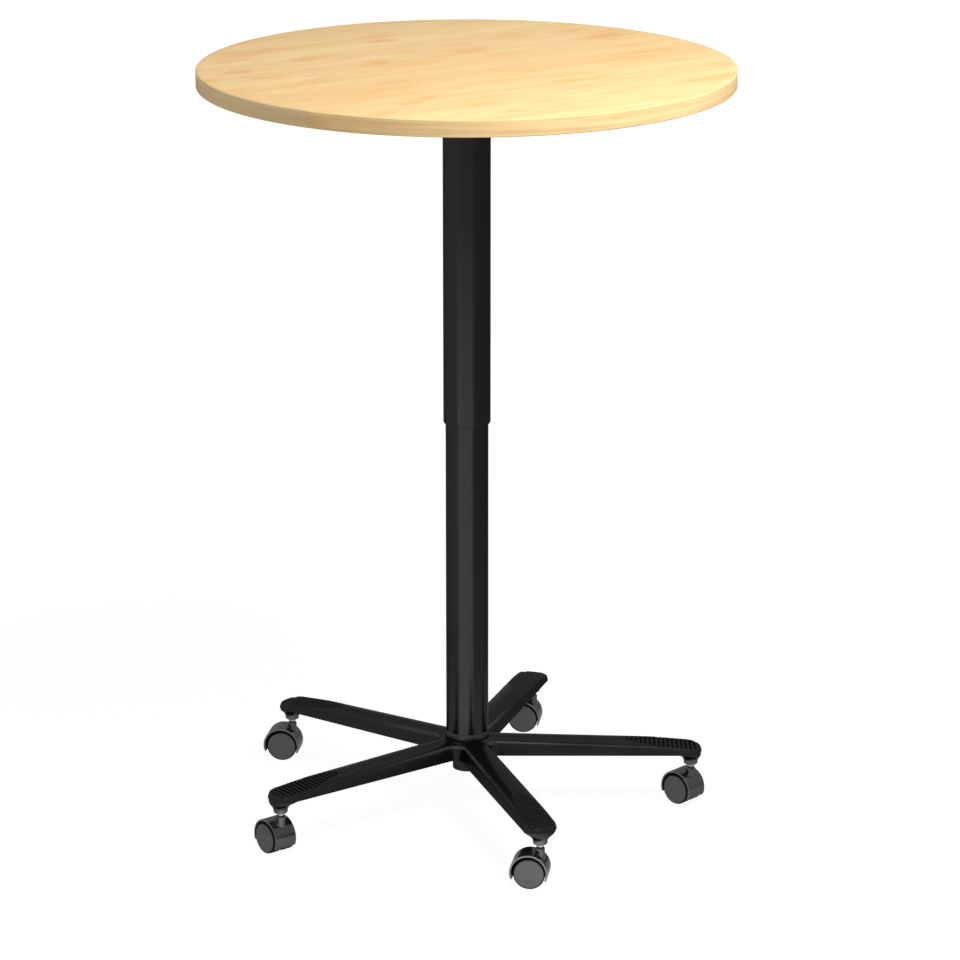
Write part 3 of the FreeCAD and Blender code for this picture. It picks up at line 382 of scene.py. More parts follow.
def build_star():
    """Vertices, faces and painted light of the casting: top sheet, rounded rim and drafted wall,
    underside sheet, and the hub's turned inside."""
    points, normals = outline_loop()
    rim = rim_heights(points, normals)
    top_loop = inset_plan(points, normals, rim, RIM_ROUNDING)
    foot_loop = points - normals * FOOT_ROUNDING
    top_plan, top_faces, direction = sheet_of_star(top_loop)
    top = raised(top_plan, top_height(top_plan))
    foot_plan, foot_faces, foot_direction = sheet_of_star(foot_loop)
    foot = raised(foot_plan, under_height(foot_plan))

    # wall rows: a bend from the top's edge over the rim, then straight down to the foot
    start = raised(top_loop, top_height(top_loop))
    corner = raised(inset_plan(points, normals, rim), rim)
    low = rim - RIM_ROUNDING
    end = raised(inset_plan(points, normals, low), low)
    rows = [curved(start, corner, end, t) for t in np.linspace(0, 1, len(RIM_HIGHLIGHT))]
    for share in WALL_SHARES:
        height = low + (BASE_LOW + FOOT_ROUNDING - low) * share
        rows.append(raised(inset_plan(points, normals, height), height))
    rows.append(raised(foot_loop, BASE_LOW))
    wall = np.stack(rows)

    # hub: bore for the column, floor, counterbore for the nut, and the boss below the arms
    profile = [(COLUMN_BORE, HUB_FLOOR), (SPRING_BORE, HUB_FLOOR),
               (SPRING_BORE, COUNTERBORE_TOP), (COUNTERBORE, COUNTERBORE_TOP),
               (COUNTERBORE, BOSS_LOW + FOOT_ROUNDING), (COUNTERBORE + FOOT_ROUNDING, BOSS_LOW),
               (BOSS_RADIUS - 0.0012, BOSS_LOW), (BOSS_RADIUS - 0.0003, BOSS_LOW + 0.0004),
               (BOSS_RADIUS, BOSS_LOW + 0.0014), (BOSS_RADIUS, BASE_LOW)]
    bore = direction * COLUMN_BORE
    hub = np.stack([raised(bore, top_height(bore)),
                    *(raised(direction * radius, height) for radius, height in profile),
                    raised(foot_direction * COLUMN_BORE, BASE_LOW)])
    verts = np.concatenate([top, foot, wall.reshape(-1, 3), hub.reshape(-1, 3)])
    foot_first = len(top)
    wall_first = foot_first + len(foot)
    hub_first = wall_first + len(wall) * len(points)
    faces = [top_faces, foot_faces[:, ::-1] + foot_first,
             grid_faces(*wall.shape[:2], wall_first, wrap_columns=True)[:, ::-1],
             grid_faces(*hub.shape[:2], hub_first, wrap_columns=True)]

    # painted highlight up to 1 on the rim's bend, painted shade -1 in the grooves
    scuff_and_painted_light = np.zeros(len(verts))
    row_highlight = np.concatenate([RIM_HIGHLIGHT, np.zeros(len(wall) - len(RIM_HIGHLIGHT))])
    near_hub = 1 - smooth_step(np.hypot(points[:, 0], points[:, 1]), *RIM_HIGHLIGHT_REACH)
    scuff_and_painted_light[wall_first:hub_first] = np.outer(row_highlight, near_hub).ravel()
    scuff_and_painted_light[:foot_first] = -groove_share(*arm_place(top_plan))
    return verts, faces, scuff_and_painted_light


def tip_boss(angle):
    """Flared boss under an arm's tip. In plan its radius is the flare's at each height, held
    inside the tip's outline, so it spreads sideways and back but not past the front."""
    around = np.linspace(0, 2 * math.pi, FLARE_STEPS, endpoint=False)
    rise = np.clip((FLARE_LEVELS - FLARE_START) / (FLARE_TOP - FLARE_START), 0, 1)
    spread = FLARE_RADIUS + FLARE_SPREAD * rise ** FLARE_POWER
    spread[-2:] = FLARE_LIP
    along = np.linspace(FLARE_SIDE_START, SIDE_END, 40)[:-1]
    side = np.stack([along, np.full(len(along), -ARM_TIP_HALF)], 1)
    edge = np.concatenate([side, tip_points, side[::-1] * [1, -1]]) - [CASTOR_CIRCLE, 0]
    limit = np.interp(around, np.arctan2(edge[:, 1], edge[:, 0]),
                      np.hypot(edge[:, 0], edge[:, 1]), period=2 * math.pi)
    limit = np.minimum(limit - FLARE_INSET, FLARE_LIMIT)
    flare = soft_min(spread[:, None], limit[None], FLARE_BLEND)
    bore_radii, bore_levels = np.array(SLEEVE_BORE).T
    radius = np.concatenate([flare, np.repeat(bore_radii[:, None], FLARE_STEPS, axis=1)])
    levels = np.concatenate([FLARE_LEVELS, bore_levels])
    plan = np.stack([CASTOR_CIRCLE + radius * np.cos(around), radius * np.sin(around)], -1)
    heights = np.broadcast_to(levels[:, None, None], plan.shape[:2] + (1,))
    return np.concatenate([turned(plan, angle), heights], -1)


star_verts, star_faces, star_painted_light = build_star()
for k in range(5):
    boss = tip_boss(k * ARM_STEP)
    ring = grid_faces(*boss.shape[:2], len(star_verts), wrap_rows=True, wrap_columns=True)
    star_faces.append(ring[:, ::-1])
    star_verts = np.concatenate([star_verts, boss.reshape(-1, 3)])
    # each boss's coat made lighter towards its bottom, with the same grey as the painted highlight
    star_painted_light = np.concatenate([star_painted_light, 1 - smooth_step(boss[..., 2].ravel(), *FLARE_LIGHTER_BELOW)])
star = add_piece("star_casting", star_verts, star_faces, "base", ["star_base"])
painted_light_layer = star.data.attributes.new("scuff_and_painted_light", "FLOAT", "POINT")
painted_light_layer.data.foreach_set("value", star_painted_light.astype(np.float32))
merge_close(star)


TEXTURE_DEPTH = 0.0002


class Value:
    """A shader socket that takes part in sums: each operator adds a Math node."""

    def __init__(self, finish, socket):
        self.finish = finish
        self.socket = socket

    def math(self, operation, *others):
        """One Math node's operation on this value and the others, in that order."""
        return self.finish.node("ShaderNodeMath", {"operation": operation},
                                dict(enumerate((self, *others))))

    def __add__(self, other):
        return self.math("ADD", other)

    __radd__ = __add__

    def __mul__(self, other):
        return self.math("MULTIPLY", other)

    __rmul__ = __mul__

    def __sub__(self, other):
        return self.math("SUBTRACT", other)

    def __rsub__(self, other):
        return self.finish.node("ShaderNodeMath", {"operation": "SUBTRACT"}, {0: other, 1: self})

    def __truediv__(self, other):
        return self.math("DIVIDE", other)

    def clamp(self):
        """The value, held between 0 and 1."""
        return self.finish.node("ShaderNodeClamp", {}, {"Value": self})

    def ramp(self, low, high):
        """0 at low and 1 at high, smooth between them."""
        settings = {"interpolation_type": "SMOOTHSTEP"}
        return self.finish.node("ShaderNodeMapRange", settings,
                                {"Value": self, "From Min": low, "From Max": high})


class Finish:
    """The nodes of a material or world under construction: its node method is the one way to
    add a node."""

    def __init__(self, name, kind="materials"):
        self.owner = getattr(bpy.data, kind).new(name)
        self.owner.use_nodes = True
        self.tree = self.owner.node_tree
        self.tree.nodes.clear()

    def node(self, kind, settings, inputs, output=0):
        """Adds a node, sets it up, then gives its sockets values or links. An output node has
        no output of its own, given as None."""
        item = self.tree.nodes.new(kind)
        for key, setting in settings.items():
            setattr(item, key, setting)
        for key, entry in inputs.items():
            if isinstance(key, int):
                socket = item.inputs[key]
            else:
                socket = next(one for one in item.inputs
                              if one.enabled and key in (one.identifier, one.name))
            if isinstance(entry, Value):
                self.tree.links.new(entry.socket, socket)
            else:
                socket.default_value = entry
        if output is None:
            return None
        if isinstance(output, str):
            return Value(self, next(one for one in item.outputs
                                    if one.enabled and one.name == output))
        return Value(self, item.outputs[output])

    def place(self, scale=(1, 1, 1), turn=0.0, centre=(0, 0, 0), at=None):
        """Object coordinates from a centre, turned back about z, then multiplied."""
        at = at or self.node("ShaderNodeTexCoord", {}, {}, "Object")
        return self.node("ShaderNodeMapping", {"vector_type": "TEXTURE"}, {
            "Vector": at, "Location": centre, "Rotation": (0, 0, turn),
            "Scale": tuple(1 / each for each in scale)})

    def noise(self, vector, scale, detail, roughness=0.5, distortion=0.0):
        """Fractal noise from 0 to 1."""
        return self.node("ShaderNodeTexNoise", {}, {
            "Vector": vector, "Scale": scale, "Detail": detail, "Roughness": roughness,
            "Distortion": distortion}, "Fac")

    def mix(self, share, first, second):
        """A colour between two colours."""
        return self.node("ShaderNodeMix", {"data_type": "RGBA"}, {
            "Factor_Float": share, "A_Color": first, "B_Color": second}, 2)

    def bump(self, height, strength):
        """A normal tilted by the height of a fine texture."""
        return self.node("ShaderNodeBump", {}, {
            "Strength": strength, "Distance": TEXTURE_DEPTH, "Height": height}, "Normal")

    def surface(self, inputs):
        """The shader and its output. Returns the material."""
        shader = self.node("ShaderNodeBsdfPrincipled", {}, inputs)
        self.node("ShaderNodeOutputMaterial", {}, {"Surface": shader}, None)
        return self.owner


def grey(level):
    """An opaque grey: one level for red, green and blue."""
    return (level, level, level, 1)


def shaded(colour, factor):
    """A colour times a factor, with no channel above 1."""
    return (*[min(1.0, channel * factor) for channel in colour], 1)


def powder_coat(name, sheen, roughness, peel, highlight_grey=0.0):
    """Gloss black powder coat, all sheen and hardly any colour: fine orange peel and a faint
    cloudiness. Where the casting's attribute is up to 1 the coat turns lighter: a painted
    highlight on the rims, and a lighter bottom on the bosses. Where it is -1, in the pad's
    grooves, the coat turns near-black as painted shade."""
    coat = Finish(name)
    at = coat.place()
    fine = coat.noise(at, 700.0, 2.0)
    cloud = coat.noise(at, 14.0, 3.0)
    tint = coat.mix(cloud, grey(sheen * 0.88), grey(sheen * 1.12))
    if highlight_grey:
        # painted highlight: where the attribute is above 0 the coat turns the lighter highlight
        # grey
        scuff_and_painted_light = coat.node("ShaderNodeAttribute", {"attribute_name": "scuff_and_painted_light"}, {}, "Fac")
        patchy = coat.noise(at, 60.0, 3.0).ramp(0.25, 0.65)
        rim = scuff_and_painted_light.math("MAXIMUM", 0.0) * (patchy * 0.4 + 0.6)
        tint = coat.mix(rim, tint, grey(highlight_grey))
        # painted shade: the coat turns near-black in the pad's grooves
        groove = (scuff_and_painted_light * -1.0).math("MAXIMUM", 0.0)
        tint = coat.mix(groove * 0.85, tint, grey(0.004))
    return coat.surface({
        "Base Color": tint, "Metallic": 0.92, "Roughness": roughness - 0.03 + cloud * 0.06,
        "Specular Tint": grey(0.42), "Normal": coat.bump(fine, peel)})


def dress(piece, *materials):
    """Gives a piece its materials."""
    piece.data.materials.clear()
    for material in materials:
        piece.data.materials.append(material)


# the last figure is the lighter grey of the painted highlight on the casting's rims
black_coat = powder_coat("black_powder_coat", 0.038, 0.25, 0.10, 0.16)
dress(star, black_coat)


# ------------------------------------------------------------------ castor sleeves and stems
# A flanged sleeve of grey nylon is pressed into each arm's tip. The castor's zinc-plated stem
# snaps into it: grip pin above, a flange under the sleeve, and a shaft that the hood turns on.

ROUND = 64
BEND_STEPS = 4
BEND_SHARE = 0.45
SLEEVE_ROUNDING = 0.0005
STEM_ROUNDING = 0.0004
SLEEVE = [(0.0055, 0.0920), (0.0080, 0.0920), (0.0080, 0.0675), (0.0105, 0.0675),
          (0.0105, 0.0668), (0.0097, 0.0660), (0.0068, 0.0660), (0.0062, 0.0664),
          (0.0055, 0.0664)]
STEM = [(0, 0.0900), (0.0045, 0.0900), (0.0055, 0.0890), (0.0055, 0.0665), (0.0061, 0.0660),
        (0.0061, 0.0632), (0.0055, 0.0625), (0.0047, 0.0622), (0.0047, 0.0612),
        (0.0040, 0.0606), (0.0040, 0.0482), (0.0025, 0.0480), (0.0025, 0.0340), (0, 0.0340)]

# a castor trails square to its axle
joints = {joint["name"]: joint for joint in frame["joints"]}
roll_axes = [joints[f"roll_{number}a"]["axis"] for number in range(1, 6)]
TRAILS = [math.atan2(-x, y) for x, y, _ in roll_axes]


def lathe(profile, steps=ROUND):
    """Surface of revolution about the local z axis: rows follow the profile, columns go round."""
    profile = np.asarray(profile, float)
    around = np.linspace(0, 2 * math.pi, steps, endpoint=False)
    ring = np.stack([np.cos(around), np.sin(around)], -1)
    plan = profile[:, None, :1] * ring[None]
    height = np.broadcast_to(profile[:, None, 1:], plan.shape[:2] + (1,))
    return np.concatenate([plan, height], -1)


def rounded(corners, radius):
    """Profile through corners, each inner corner replaced by a bend of up to that radius."""
    corners = np.asarray(corners, float)
    t = np.linspace(0, 1, BEND_STEPS + 1)[:, None]
    path = [corners[:1]]
    for before, corner, after in zip(corners[:-2], corners[1:-1], corners[2:]):
        back, ahead = before - corner, after - corner
        reach = min(radius, BEND_SHARE * np.linalg.norm(back), BEND_SHARE * np.linalg.norm(ahead))
        start = corner + back / np.linalg.norm(back) * reach
        end = corner + ahead / np.linalg.norm(ahead) * reach
        path.append(curved(start, corner, end, t))
    path.append(corners[-1:])
    return np.concatenate(path)


def castor_frame(points, k):
    """Points from a castor's own frame (stem on z, trail along x) to the table's frame: turned
    to the castor's trail, then moved out to its arm's tip."""
    tip = CASTOR_CIRCLE * np.array([math.cos(k * ARM_STEP), math.sin(k * ARM_STEP)])
    return np.concatenate([turned(points[..., :2], TRAILS[k]) + tip, points[..., 2:]], -1)


def lathe_piece(name, grid, body, replaced, closed=False):
    """A turned grid as a piece. A closed grid's last row joins its first."""
    faces = grid_faces(*grid.shape[:2], wrap_rows=closed, wrap_columns=True)
    piece = add_piece(name, grid.reshape(-1, 3), [faces], body, replaced)
    merge_close(piece, outward=True)
    return piece


def moulded(name, sheen, roughness, grain_scale, grain_depth, scuff, metallic=0.85):
    """Satin moulded plastic: fine spark texture, slight flow marks, and scuffs that dull it."""
    plastic = Finish(name)
    at = plastic.place()
    grain = plastic.noise(at, grain_scale, 2.0)
    flow = plastic.noise(plastic.place((1, 1, 3)), 40.0, 3.0)
    scuff_and_painted_light = plastic.noise(at, 160.0, 4.0, 0.7).ramp(0.58, 0.76)
    base = plastic.mix(flow, shaded(sheen, 0.92), shaded(sheen, 1.08))
    return plastic.surface({
        "Base Color": plastic.mix(scuff_and_painted_light * scuff, base, shaded(sheen, 1.5)),
        "Metallic": metallic, "Specular Tint": grey(0.6),
        "Roughness": roughness - 0.04 + flow * 0.05 + scuff_and_painted_light * 0.10,
        "Normal": plastic.bump(grain, grain_depth)})


def plated(name, colour, roughness):
    """Zinc-plated or ground steel: turning marks, and a faint stain in the plating."""
    steel = Finish(name)
    marks = steel.noise(steel.place((1, 1, 60)), 90.0, 2.0)
    stain = steel.noise(steel.place(), 70.0, 4.0, 0.6)
    return steel.surface({
        "Base Color": steel.mix(stain, shaded(colour, 0.82), (*colour, 1)),
        "Metallic": 1.0, "Roughness": roughness + stain * 0.12,
        "Normal": steel.bump(marks, 0.15)})


sleeve_plastic = moulded("sleeve_nylon", (0.20, 0.20, 0.20), 0.32, 700.0, 0.10, 0.2)
zinc = plated("zinc_plate", (0.62, 0.62, 0.60), 0.24)
for k in range(5):
    number = k + 1
    sleeve_grid = castor_frame(lathe(rounded(SLEEVE, SLEEVE_ROUNDING)), k)
    sleeve = lathe_piece(f"sleeve_{number}", sleeve_grid, "base", [f"castor_socket_{number}"],
                         closed=True)
    dress(sleeve, sleeve_plastic)
    stem_grid = castor_frame(lathe(rounded(STEM, STEM_ROUNDING)), k)
    stem = lathe_piece(f"stem_{number}", stem_grid, "base", [f"castor_stem_{number}"])
    dress(stem, zinc)


# ------------------------------------------------------------------ castor wheels and axles
# Twin wheels of nylon, dished inside, each with a closed, faintly domed grey outer face. The
# tread round the face is painted near-black: painted shade for the gap between wheel and hood.
# They run on a plain steel axle that goes through the hood's web.

WHEEL_STEPS = 96
WHEEL_RADIUS = 0.024
WHEEL_INNER = 0.004
WHEEL_ROUNDING = 0.0008
HOLE_RADIUS = 0.00305
HOLE_DEPTH = 0.0145
DISH = (0.0070, 0.0200)
DISH_DEPTH = 0.0140
SHOULDER_WIDTH = 0.0017
SHOULDER_RISE = 0.0026
FACE_TOP = 0.0178
FACE_DOME = 0.198
FACE_RADIUS = 0.0216
AXLE_STEPS = 32
AXLE_TRAIL = 0.014
AXLE_HEIGHT = 0.024
AXLE_RADIUS = 0.0030
AXLE_HALF = 0.0175
AXLE_CHAMFER = (0.0004, 0.0005)

shoulder_turn = np.linspace(0, math.pi / 2, 7)
SHOULDER = np.stack([WHEEL_RADIUS - SHOULDER_WIDTH + SHOULDER_WIDTH * np.cos(shoulder_turn),
                     DISH_DEPTH + SHOULDER_RISE * np.sin(shoulder_turn)], 1)
face_radii = np.array([0.0218, 0.0214, 0.0175, 0.0130, 0.0085, 0.0040, 0])
FACE = np.stack([face_radii, FACE_TOP - face_radii ** 2 / (2 * FACE_DOME)], 1)
INSIDE = rounded([(HOLE_RADIUS, 0), (DISH[0], 0), (DISH[0], DISH_DEPTH), (DISH[1], DISH_DEPTH),
                  (DISH[1], 0), (WHEEL_RADIUS, 0), (WHEEL_RADIUS, 0.0100)], WHEEL_ROUNDING)
WHEEL = np.concatenate([[(0, HOLE_DEPTH), (HOLE_RADIUS, HOLE_DEPTH)], INSIDE, SHOULDER,
                        FACE]) + [0, WHEEL_INNER]
AXLE = [(0, -AXLE_HALF), (AXLE_RADIUS - AXLE_CHAMFER[0], -AXLE_HALF),
        (AXLE_RADIUS, -AXLE_HALF + AXLE_CHAMFER[1]), (AXLE_RADIUS, AXLE_HALF - AXLE_CHAMFER[1]),
        (AXLE_RADIUS - AXLE_CHAMFER[0], AXLE_HALF), (0, AXLE_HALF)]


def lying(points, side):
    """Points turned about z laid over so that their z points along the axle, to one side."""
    x = points[..., 0] + AXLE_TRAIL
    y = side * points[..., 2]
    z = -side * points[..., 1] + AXLE_HEIGHT
    return np.stack([x, y, z], -1)


def axle_line(k):
    """A point on a castor's axle, and the axle's direction."""
    middle, side = castor_frame(np.array([[AXLE_TRAIL, 0.0, AXLE_HEIGHT],
                                          [AXLE_TRAIL, 1.0, AXLE_HEIGHT]]), k)
    return middle, side - middle


def face_centres(piece):
    """The middle of each face of a piece."""
    centres = np.empty(len(piece.data.polygons) * 3, np.float32)
    piece.data.polygons.foreach_get("center", centres)
    return centres.reshape(-1, 3)


def two_tone(piece, second, picked):
    """Gives the picked faces of a piece a second material."""
    piece.data.materials.append(second)
    piece.data.polygons.foreach_set("material_index", picked.astype(np.int32))


def on_tread(centres, k):
    """Whether points lie farther from a castor's axle than the wheel's grey face reaches."""
    middle, along = axle_line(k)
    return np.linalg.norm(np.cross(centres - middle, along), axis=1) > FACE_RADIUS


wheel_plastic = moulded("wheel_nylon", (0.116, 0.116, 0.117), 0.33, 620.0, 0.08, 0.3, 0.75)
# painted shade: the tread ring round the grey face is made near-black
tread_painted_shade = moulded("tread_painted_shade_nylon", (0.015, 0.015, 0.015), 0.45, 620.0, 0.08, 0.2)
for k in range(5):
    number = k + 1
    for letter, side in (("a", 1), ("b", -1)):
        wheel = lathe_piece(f"wheel_{number}{letter}",
                            castor_frame(lying(lathe(WHEEL, WHEEL_STEPS), side), k),
                            f"wheel_{number}{letter}", [f"castor_wheel_{number}{letter}"])
        dress(wheel, wheel_plastic)
        two_tone(wheel, tread_painted_shade, on_tread(face_centres(wheel), k))
    axle = lathe_piece(f"axle_{number}", castor_frame(lying(lathe(AXLE, AXLE_STEPS), 1), k),
                       f"castor_{number}", [f"castor_axle_{number}"])
    dress(axle, zinc)


# ------------------------------------------------------------------ castor hoods
# One moulding of grey nylon: a shell over both wheels, a central web with the axle's eye, and
# an upright neck that turns on the stem. The shell's two ends are cut off straight, and its
# side rims are painted a lighter grey as a highlight.

HOOD_CENTRE = 0.0152
HOOD_RADIUS = 0.0288
HOOD_WALL = 0.0028
HOOD_HALF = 0.0185
HOOD_FRONT = math.radians(-21)
HOOD_BACK = math.radians(203.5)
HOOD_ROWS = 73
HOOD_EASE = np.array([0.45, 0.75, 0.95, 0.985, 1.0])
HOOD_EDGE = (0.0003, 0.0001)
RIM_DEPTH = 0.00004
WEB_HALF = 0.0034
WEB_BREAK = 0.0003
WEB_SHARE = 0.985
WEB_TURN_INSET = 0.03
WEB_SKIN_INSET = 0.001
EYE_RADIUS = 0.0030
EYE_OUTER = 0.0085
EYE_TURN = (math.radians(200), math.radians(340))

# neck: its turned profile, then the radius and the lift above the shell of its spreading foot
NECK_RADIUS = 0.0070
NECK_BORE = 0.0040
NECK_LOW = 0.0482
NECK_TOP = 0.0595
NECK = [(NECK_BORE, NECK_LOW), (NECK_BORE, 0.0575), (0.0050, 0.0588), (0.0053, 0.0593),
        (0.0058, NECK_TOP), (0.0065, NECK_TOP), (0.0069, 0.0592), (NECK_RADIUS, 0.0588),
        (NECK_RADIUS, 0.0540)]
NECK_FOOT = [(NECK_RADIUS, 0.0012), (0.0071, 0.0007), (0.0074, 0.0003), (0.0081, 0.0)]


def hood_shell():
    """Closed sheet: angle round the hood's centre along the rows, and as the columns a flat
    loop that goes across outside and back inside."""
    across = np.concatenate([-HOOD_EASE[::-1], [-0.2, 0, 0.2], HOOD_EASE])
    angle = np.linspace(HOOD_FRONT, HOOD_BACK, HOOD_ROWS)[:, None] + 0 * across
    y = np.broadcast_to(across * HOOD_HALF, angle.shape)
    outer = np.full(len(across), HOOD_RADIUS)
    outer[[0, -1]] -= HOOD_EDGE[0]
    inner = np.full(len(across), HOOD_RADIUS - HOOD_WALL)
    inner[[0, -1]] += HOOD_EDGE[1]
    skins = [np.stack([HOOD_CENTRE + radius * np.cos(angle), y,
                       AXLE_HEIGHT + radius * np.sin(angle)], -1) for radius in (outer, inner)]
    return np.concatenate([skins[0], skins[1][:, ::-1]], 1)


def close_ends(grid):
    """Faces of a tube-like grid (columns closed round) with its two end loops filled in pairs."""
    rows, columns = grid.shape[:2]
    faces = [grid_faces(rows, columns, wrap_columns=True)]
    for start in (0, (rows - 1) * columns):
        near = start + np.arange(columns // 2)
        far = start + columns - 1 - np.arange(columns // 2)
        faces.append(np.stack([near[:-1], near[1:], far[1:], far[:-1]], 1))
    return np.concatenate(faces)


def hood_web():
    """Flat web between the wheels: a wedge round the axle from tongue to back, with an eye."""
    outer = arc_points((HOOD_CENTRE, AXLE_HEIGHT), HOOD_RADIUS - WEB_SKIN_INSET,
                       HOOD_FRONT + WEB_TURN_INSET, HOOD_BACK - WEB_TURN_INSET, 60)[0]
    axle = np.array([AXLE_TRAIL, AXLE_HEIGHT])
    loop = np.concatenate([outer, arc_points(axle, EYE_OUTER, *EYE_TURN, 40)[0]])
    ray = loop - axle
    eye = axle + ray / np.linalg.norm(ray, axis=1)[:, None] * EYE_RADIUS
    rim = axle + ray * WEB_SHARE
    rows = [(eye, -WEB_HALF), (rim, -WEB_HALF), (loop, -WEB_HALF + WEB_BREAK),
            (loop, WEB_HALF - WEB_BREAK), (rim, WEB_HALF), (eye, WEB_HALF)]
    return np.stack([np.stack([ring[:, 0], np.full(len(ring), y), ring[:, 1]], 1)
                     for ring, y in rows])


def hood_neck():
    """Turned neck whose foot spreads a little into the shell: each column follows the skin."""
    around = np.linspace(0, 2 * math.pi, ROUND, endpoint=False)
    rows = []
    for radius, lift in NECK_FOOT:
        x = radius * np.cos(around)
        skin = AXLE_HEIGHT + np.sqrt(HOOD_RADIUS ** 2 - (x - HOOD_CENTRE) ** 2)
        rows.append(np.stack([x, radius * np.sin(around), skin + lift], 1))
    rows.append(rows[-1] * [0.95, 0.95, 1] - [0, 0, 0.0012])
    return np.concatenate([lathe(NECK), np.stack(rows), lathe([(NECK_BORE, NECK_LOW)])])


def on_rim(centres, k):
    """Whether points lie on the flat side rims of a castor's hood."""
    middle, along = axle_line(k)
    return np.abs((centres - middle) @ along) > HOOD_HALF - RIM_DEPTH


shell, web, neck = hood_shell(), hood_web(), hood_neck()
hood_points = np.concatenate([part.reshape(-1, 3) for part in (shell, web, neck)])
web_first = shell[..., 0].size
neck_first = web_first + web[..., 0].size
hood_faces = [close_ends(shell),
              grid_faces(*web.shape[:2], web_first, wrap_rows=True, wrap_columns=True),
              grid_faces(*neck.shape[:2], neck_first, wrap_columns=True)]
hood_plastic = moulded("hood_nylon", (0.110, 0.110, 0.111), 0.18, 620.0, 0.05, 0.25, 0.93)
# painted highlight: the hood's flat side rims get a lighter grey
hood_rim_highlight = moulded("hood_rim_painted_highlight", (0.19, 0.19, 0.19), 0.30, 620.0, 0.05, 0.15, 0.90)
for k in range(5):
    number = k + 1
    hood = add_piece(f"hood_{number}", castor_frame(hood_points, k), hood_faces,
                     f"castor_{number}", [f"castor_hood_{number}"])
    merge_close(hood, outward=True)
    dress(hood, hood_plastic)
    two_tone(hood, hood_rim_highlight, on_rim(face_centres(hood), k))


# ------------------------------------------------------------------ column
# Two drawn steel tubes, powder coated. The inner one is pressed into the hub behind a turned
# collar; the outer one slides down over it and its mouth is rolled in to hold the lower bush.

TUBE_STEPS = 128
TUBE_EDGE = 0.0004
TUBE_HOLD = 3 * TUBE_EDGE
LOWER_RADIUS = 0.03265
LOWER_INNER = 0.03015
LOWER_TOP = 0.718
UPPER_RADIUS = 0.0360
UPPER_INNER = 0.0340
UPPER_TOP = 1.118
MOUTH = 0.6186
MOUTH_INNER = 0.0330
COLLAR_INNER = 0.03267

LOWER = [(LOWER_INNER, HUB_FLOOR + TUBE_HOLD), (LOWER_INNER, HUB_FLOOR + TUBE_EDGE),
         (LOWER_INNER + TUBE_EDGE, HUB_FLOOR), (LOWER_RADIUS - TUBE_EDGE, HUB_FLOOR),
         (LOWER_RADIUS, HUB_FLOOR + TUBE_EDGE), (LOWER_RADIUS, HUB_FLOOR + TUBE_HOLD),
         (LOWER_RADIUS, LOWER_TOP - TUBE_HOLD), (LOWER_RADIUS, LOWER_TOP - TUBE_EDGE),
         (LOWER_RADIUS - TUBE_EDGE, LOWER_TOP), (LOWER_INNER + TUBE_EDGE, LOWER_TOP),
         (LOWER_INNER, LOWER_TOP - TUBE_EDGE), (LOWER_INNER, LOWER_TOP - TUBE_HOLD)]
COLLAR = np.concatenate([
    [(COLLAR_INNER, 0.1140)],
    arc_points((0.02358, 0.11866), 0.0110, math.radians(-25), math.radians(31.5), 14)[0],
    [(COLLAR_INNER, 0.1244)]])
UPPER = [(UPPER_INNER, UPPER_TOP), (UPPER_INNER, UPPER_TOP - 0.001), (UPPER_INNER, 0.6260),
         (UPPER_INNER, 0.6250), (MOUTH_INNER, 0.6250), (MOUTH_INNER, 0.6189), (0.0332, MOUTH),
         (0.0343, 0.6187), (0.0350, 0.6191), (0.0355, 0.6197), (0.0358, 0.6205),
         (UPPER_RADIUS, 0.6216), (UPPER_RADIUS, 0.6230), (UPPER_RADIUS, UPPER_TOP - 0.001),
         (UPPER_RADIUS, UPPER_TOP)]
lower_tube = lathe_piece("lower_column_tube", lathe(LOWER, TUBE_STEPS), "base", ["lower_tube"],
                         closed=True)
collar = lathe_piece("hub_collar", lathe(COLLAR, TUBE_STEPS), "base", ["column_collar"],
                     closed=True)
upper_tube = lathe_piece("upper_column_tube", lathe(UPPER, TUBE_STEPS), "column_top",
                         ["upper_tube"], closed=True)
tube_coat = powder_coat("tube_powder_coat", 0.041, 0.22, 0.05)
collar_coat = powder_coat("collar_powder_coat", 0.074, 0.50, 0.05)
for piece, coat in ((lower_tube, tube_coat), (upper_tube, tube_coat), (collar, collar_coat)):
    dress(piece, coat)


# ------------------------------------------------------------------ lift inside the column
# Gas spring on a nut and washer in the hub, its rod bolted to the tray under the board. Two
# nylon bushes, one in the outer tube's mouth and one on the inner tube's top, guide the tubes.

EDGE_BREAK = 0.0003
EDGE_ANGLE = math.radians(40)
nodes = frame["nodes"]


def break_edges(node):
    """Breaks a machined or pressed piece's sharp edges, which then catch the light. The CAD's
    loose triangles are joined first."""
    joined = node.modifiers.new("joined_faces", "WELD")
    joined.merge_threshold = MERGE_DISTANCE
    bevel = node.modifiers.new("broken_edges", "BEVEL")
    bevel.width = EDGE_BREAK
    bevel.segments = 2
    bevel.limit_method = "ANGLE"
    bevel.angle_limit = EDGE_ANGLE
    bevel.harden_normals = True


cylinder_paint = powder_coat("cylinder_paint", 0.060, 0.28, 0.05)
rod_chrome = plated("ground_rod", (0.72, 0.72, 0.74), 0.12)
pale_nylon = moulded("natural_nylon", (0.62, 0.60, 0.54), 0.45, 500.0, 0.1, 0.1, 0.0)
for node, material in (("gas_spring_cylinder", cylinder_paint), ("piston_rod", rod_chrome),
                       ("lower_glide_bush", pale_nylon), ("upper_glide_bush", pale_nylon),
                       ("base_nut", zinc), ("base_washer", zinc), ("rod_nut", zinc)):
    dress(nodes[node], material)
    break_edges(nodes[node])


# ------------------------------------------------------------------ tray, screws and lever
# Pressed steel tray with a flange screwed under the board. A cranked steel lever turns on a pin
# in the tray and presses the gas spring's valve pin. Its end carries a plastic grip.

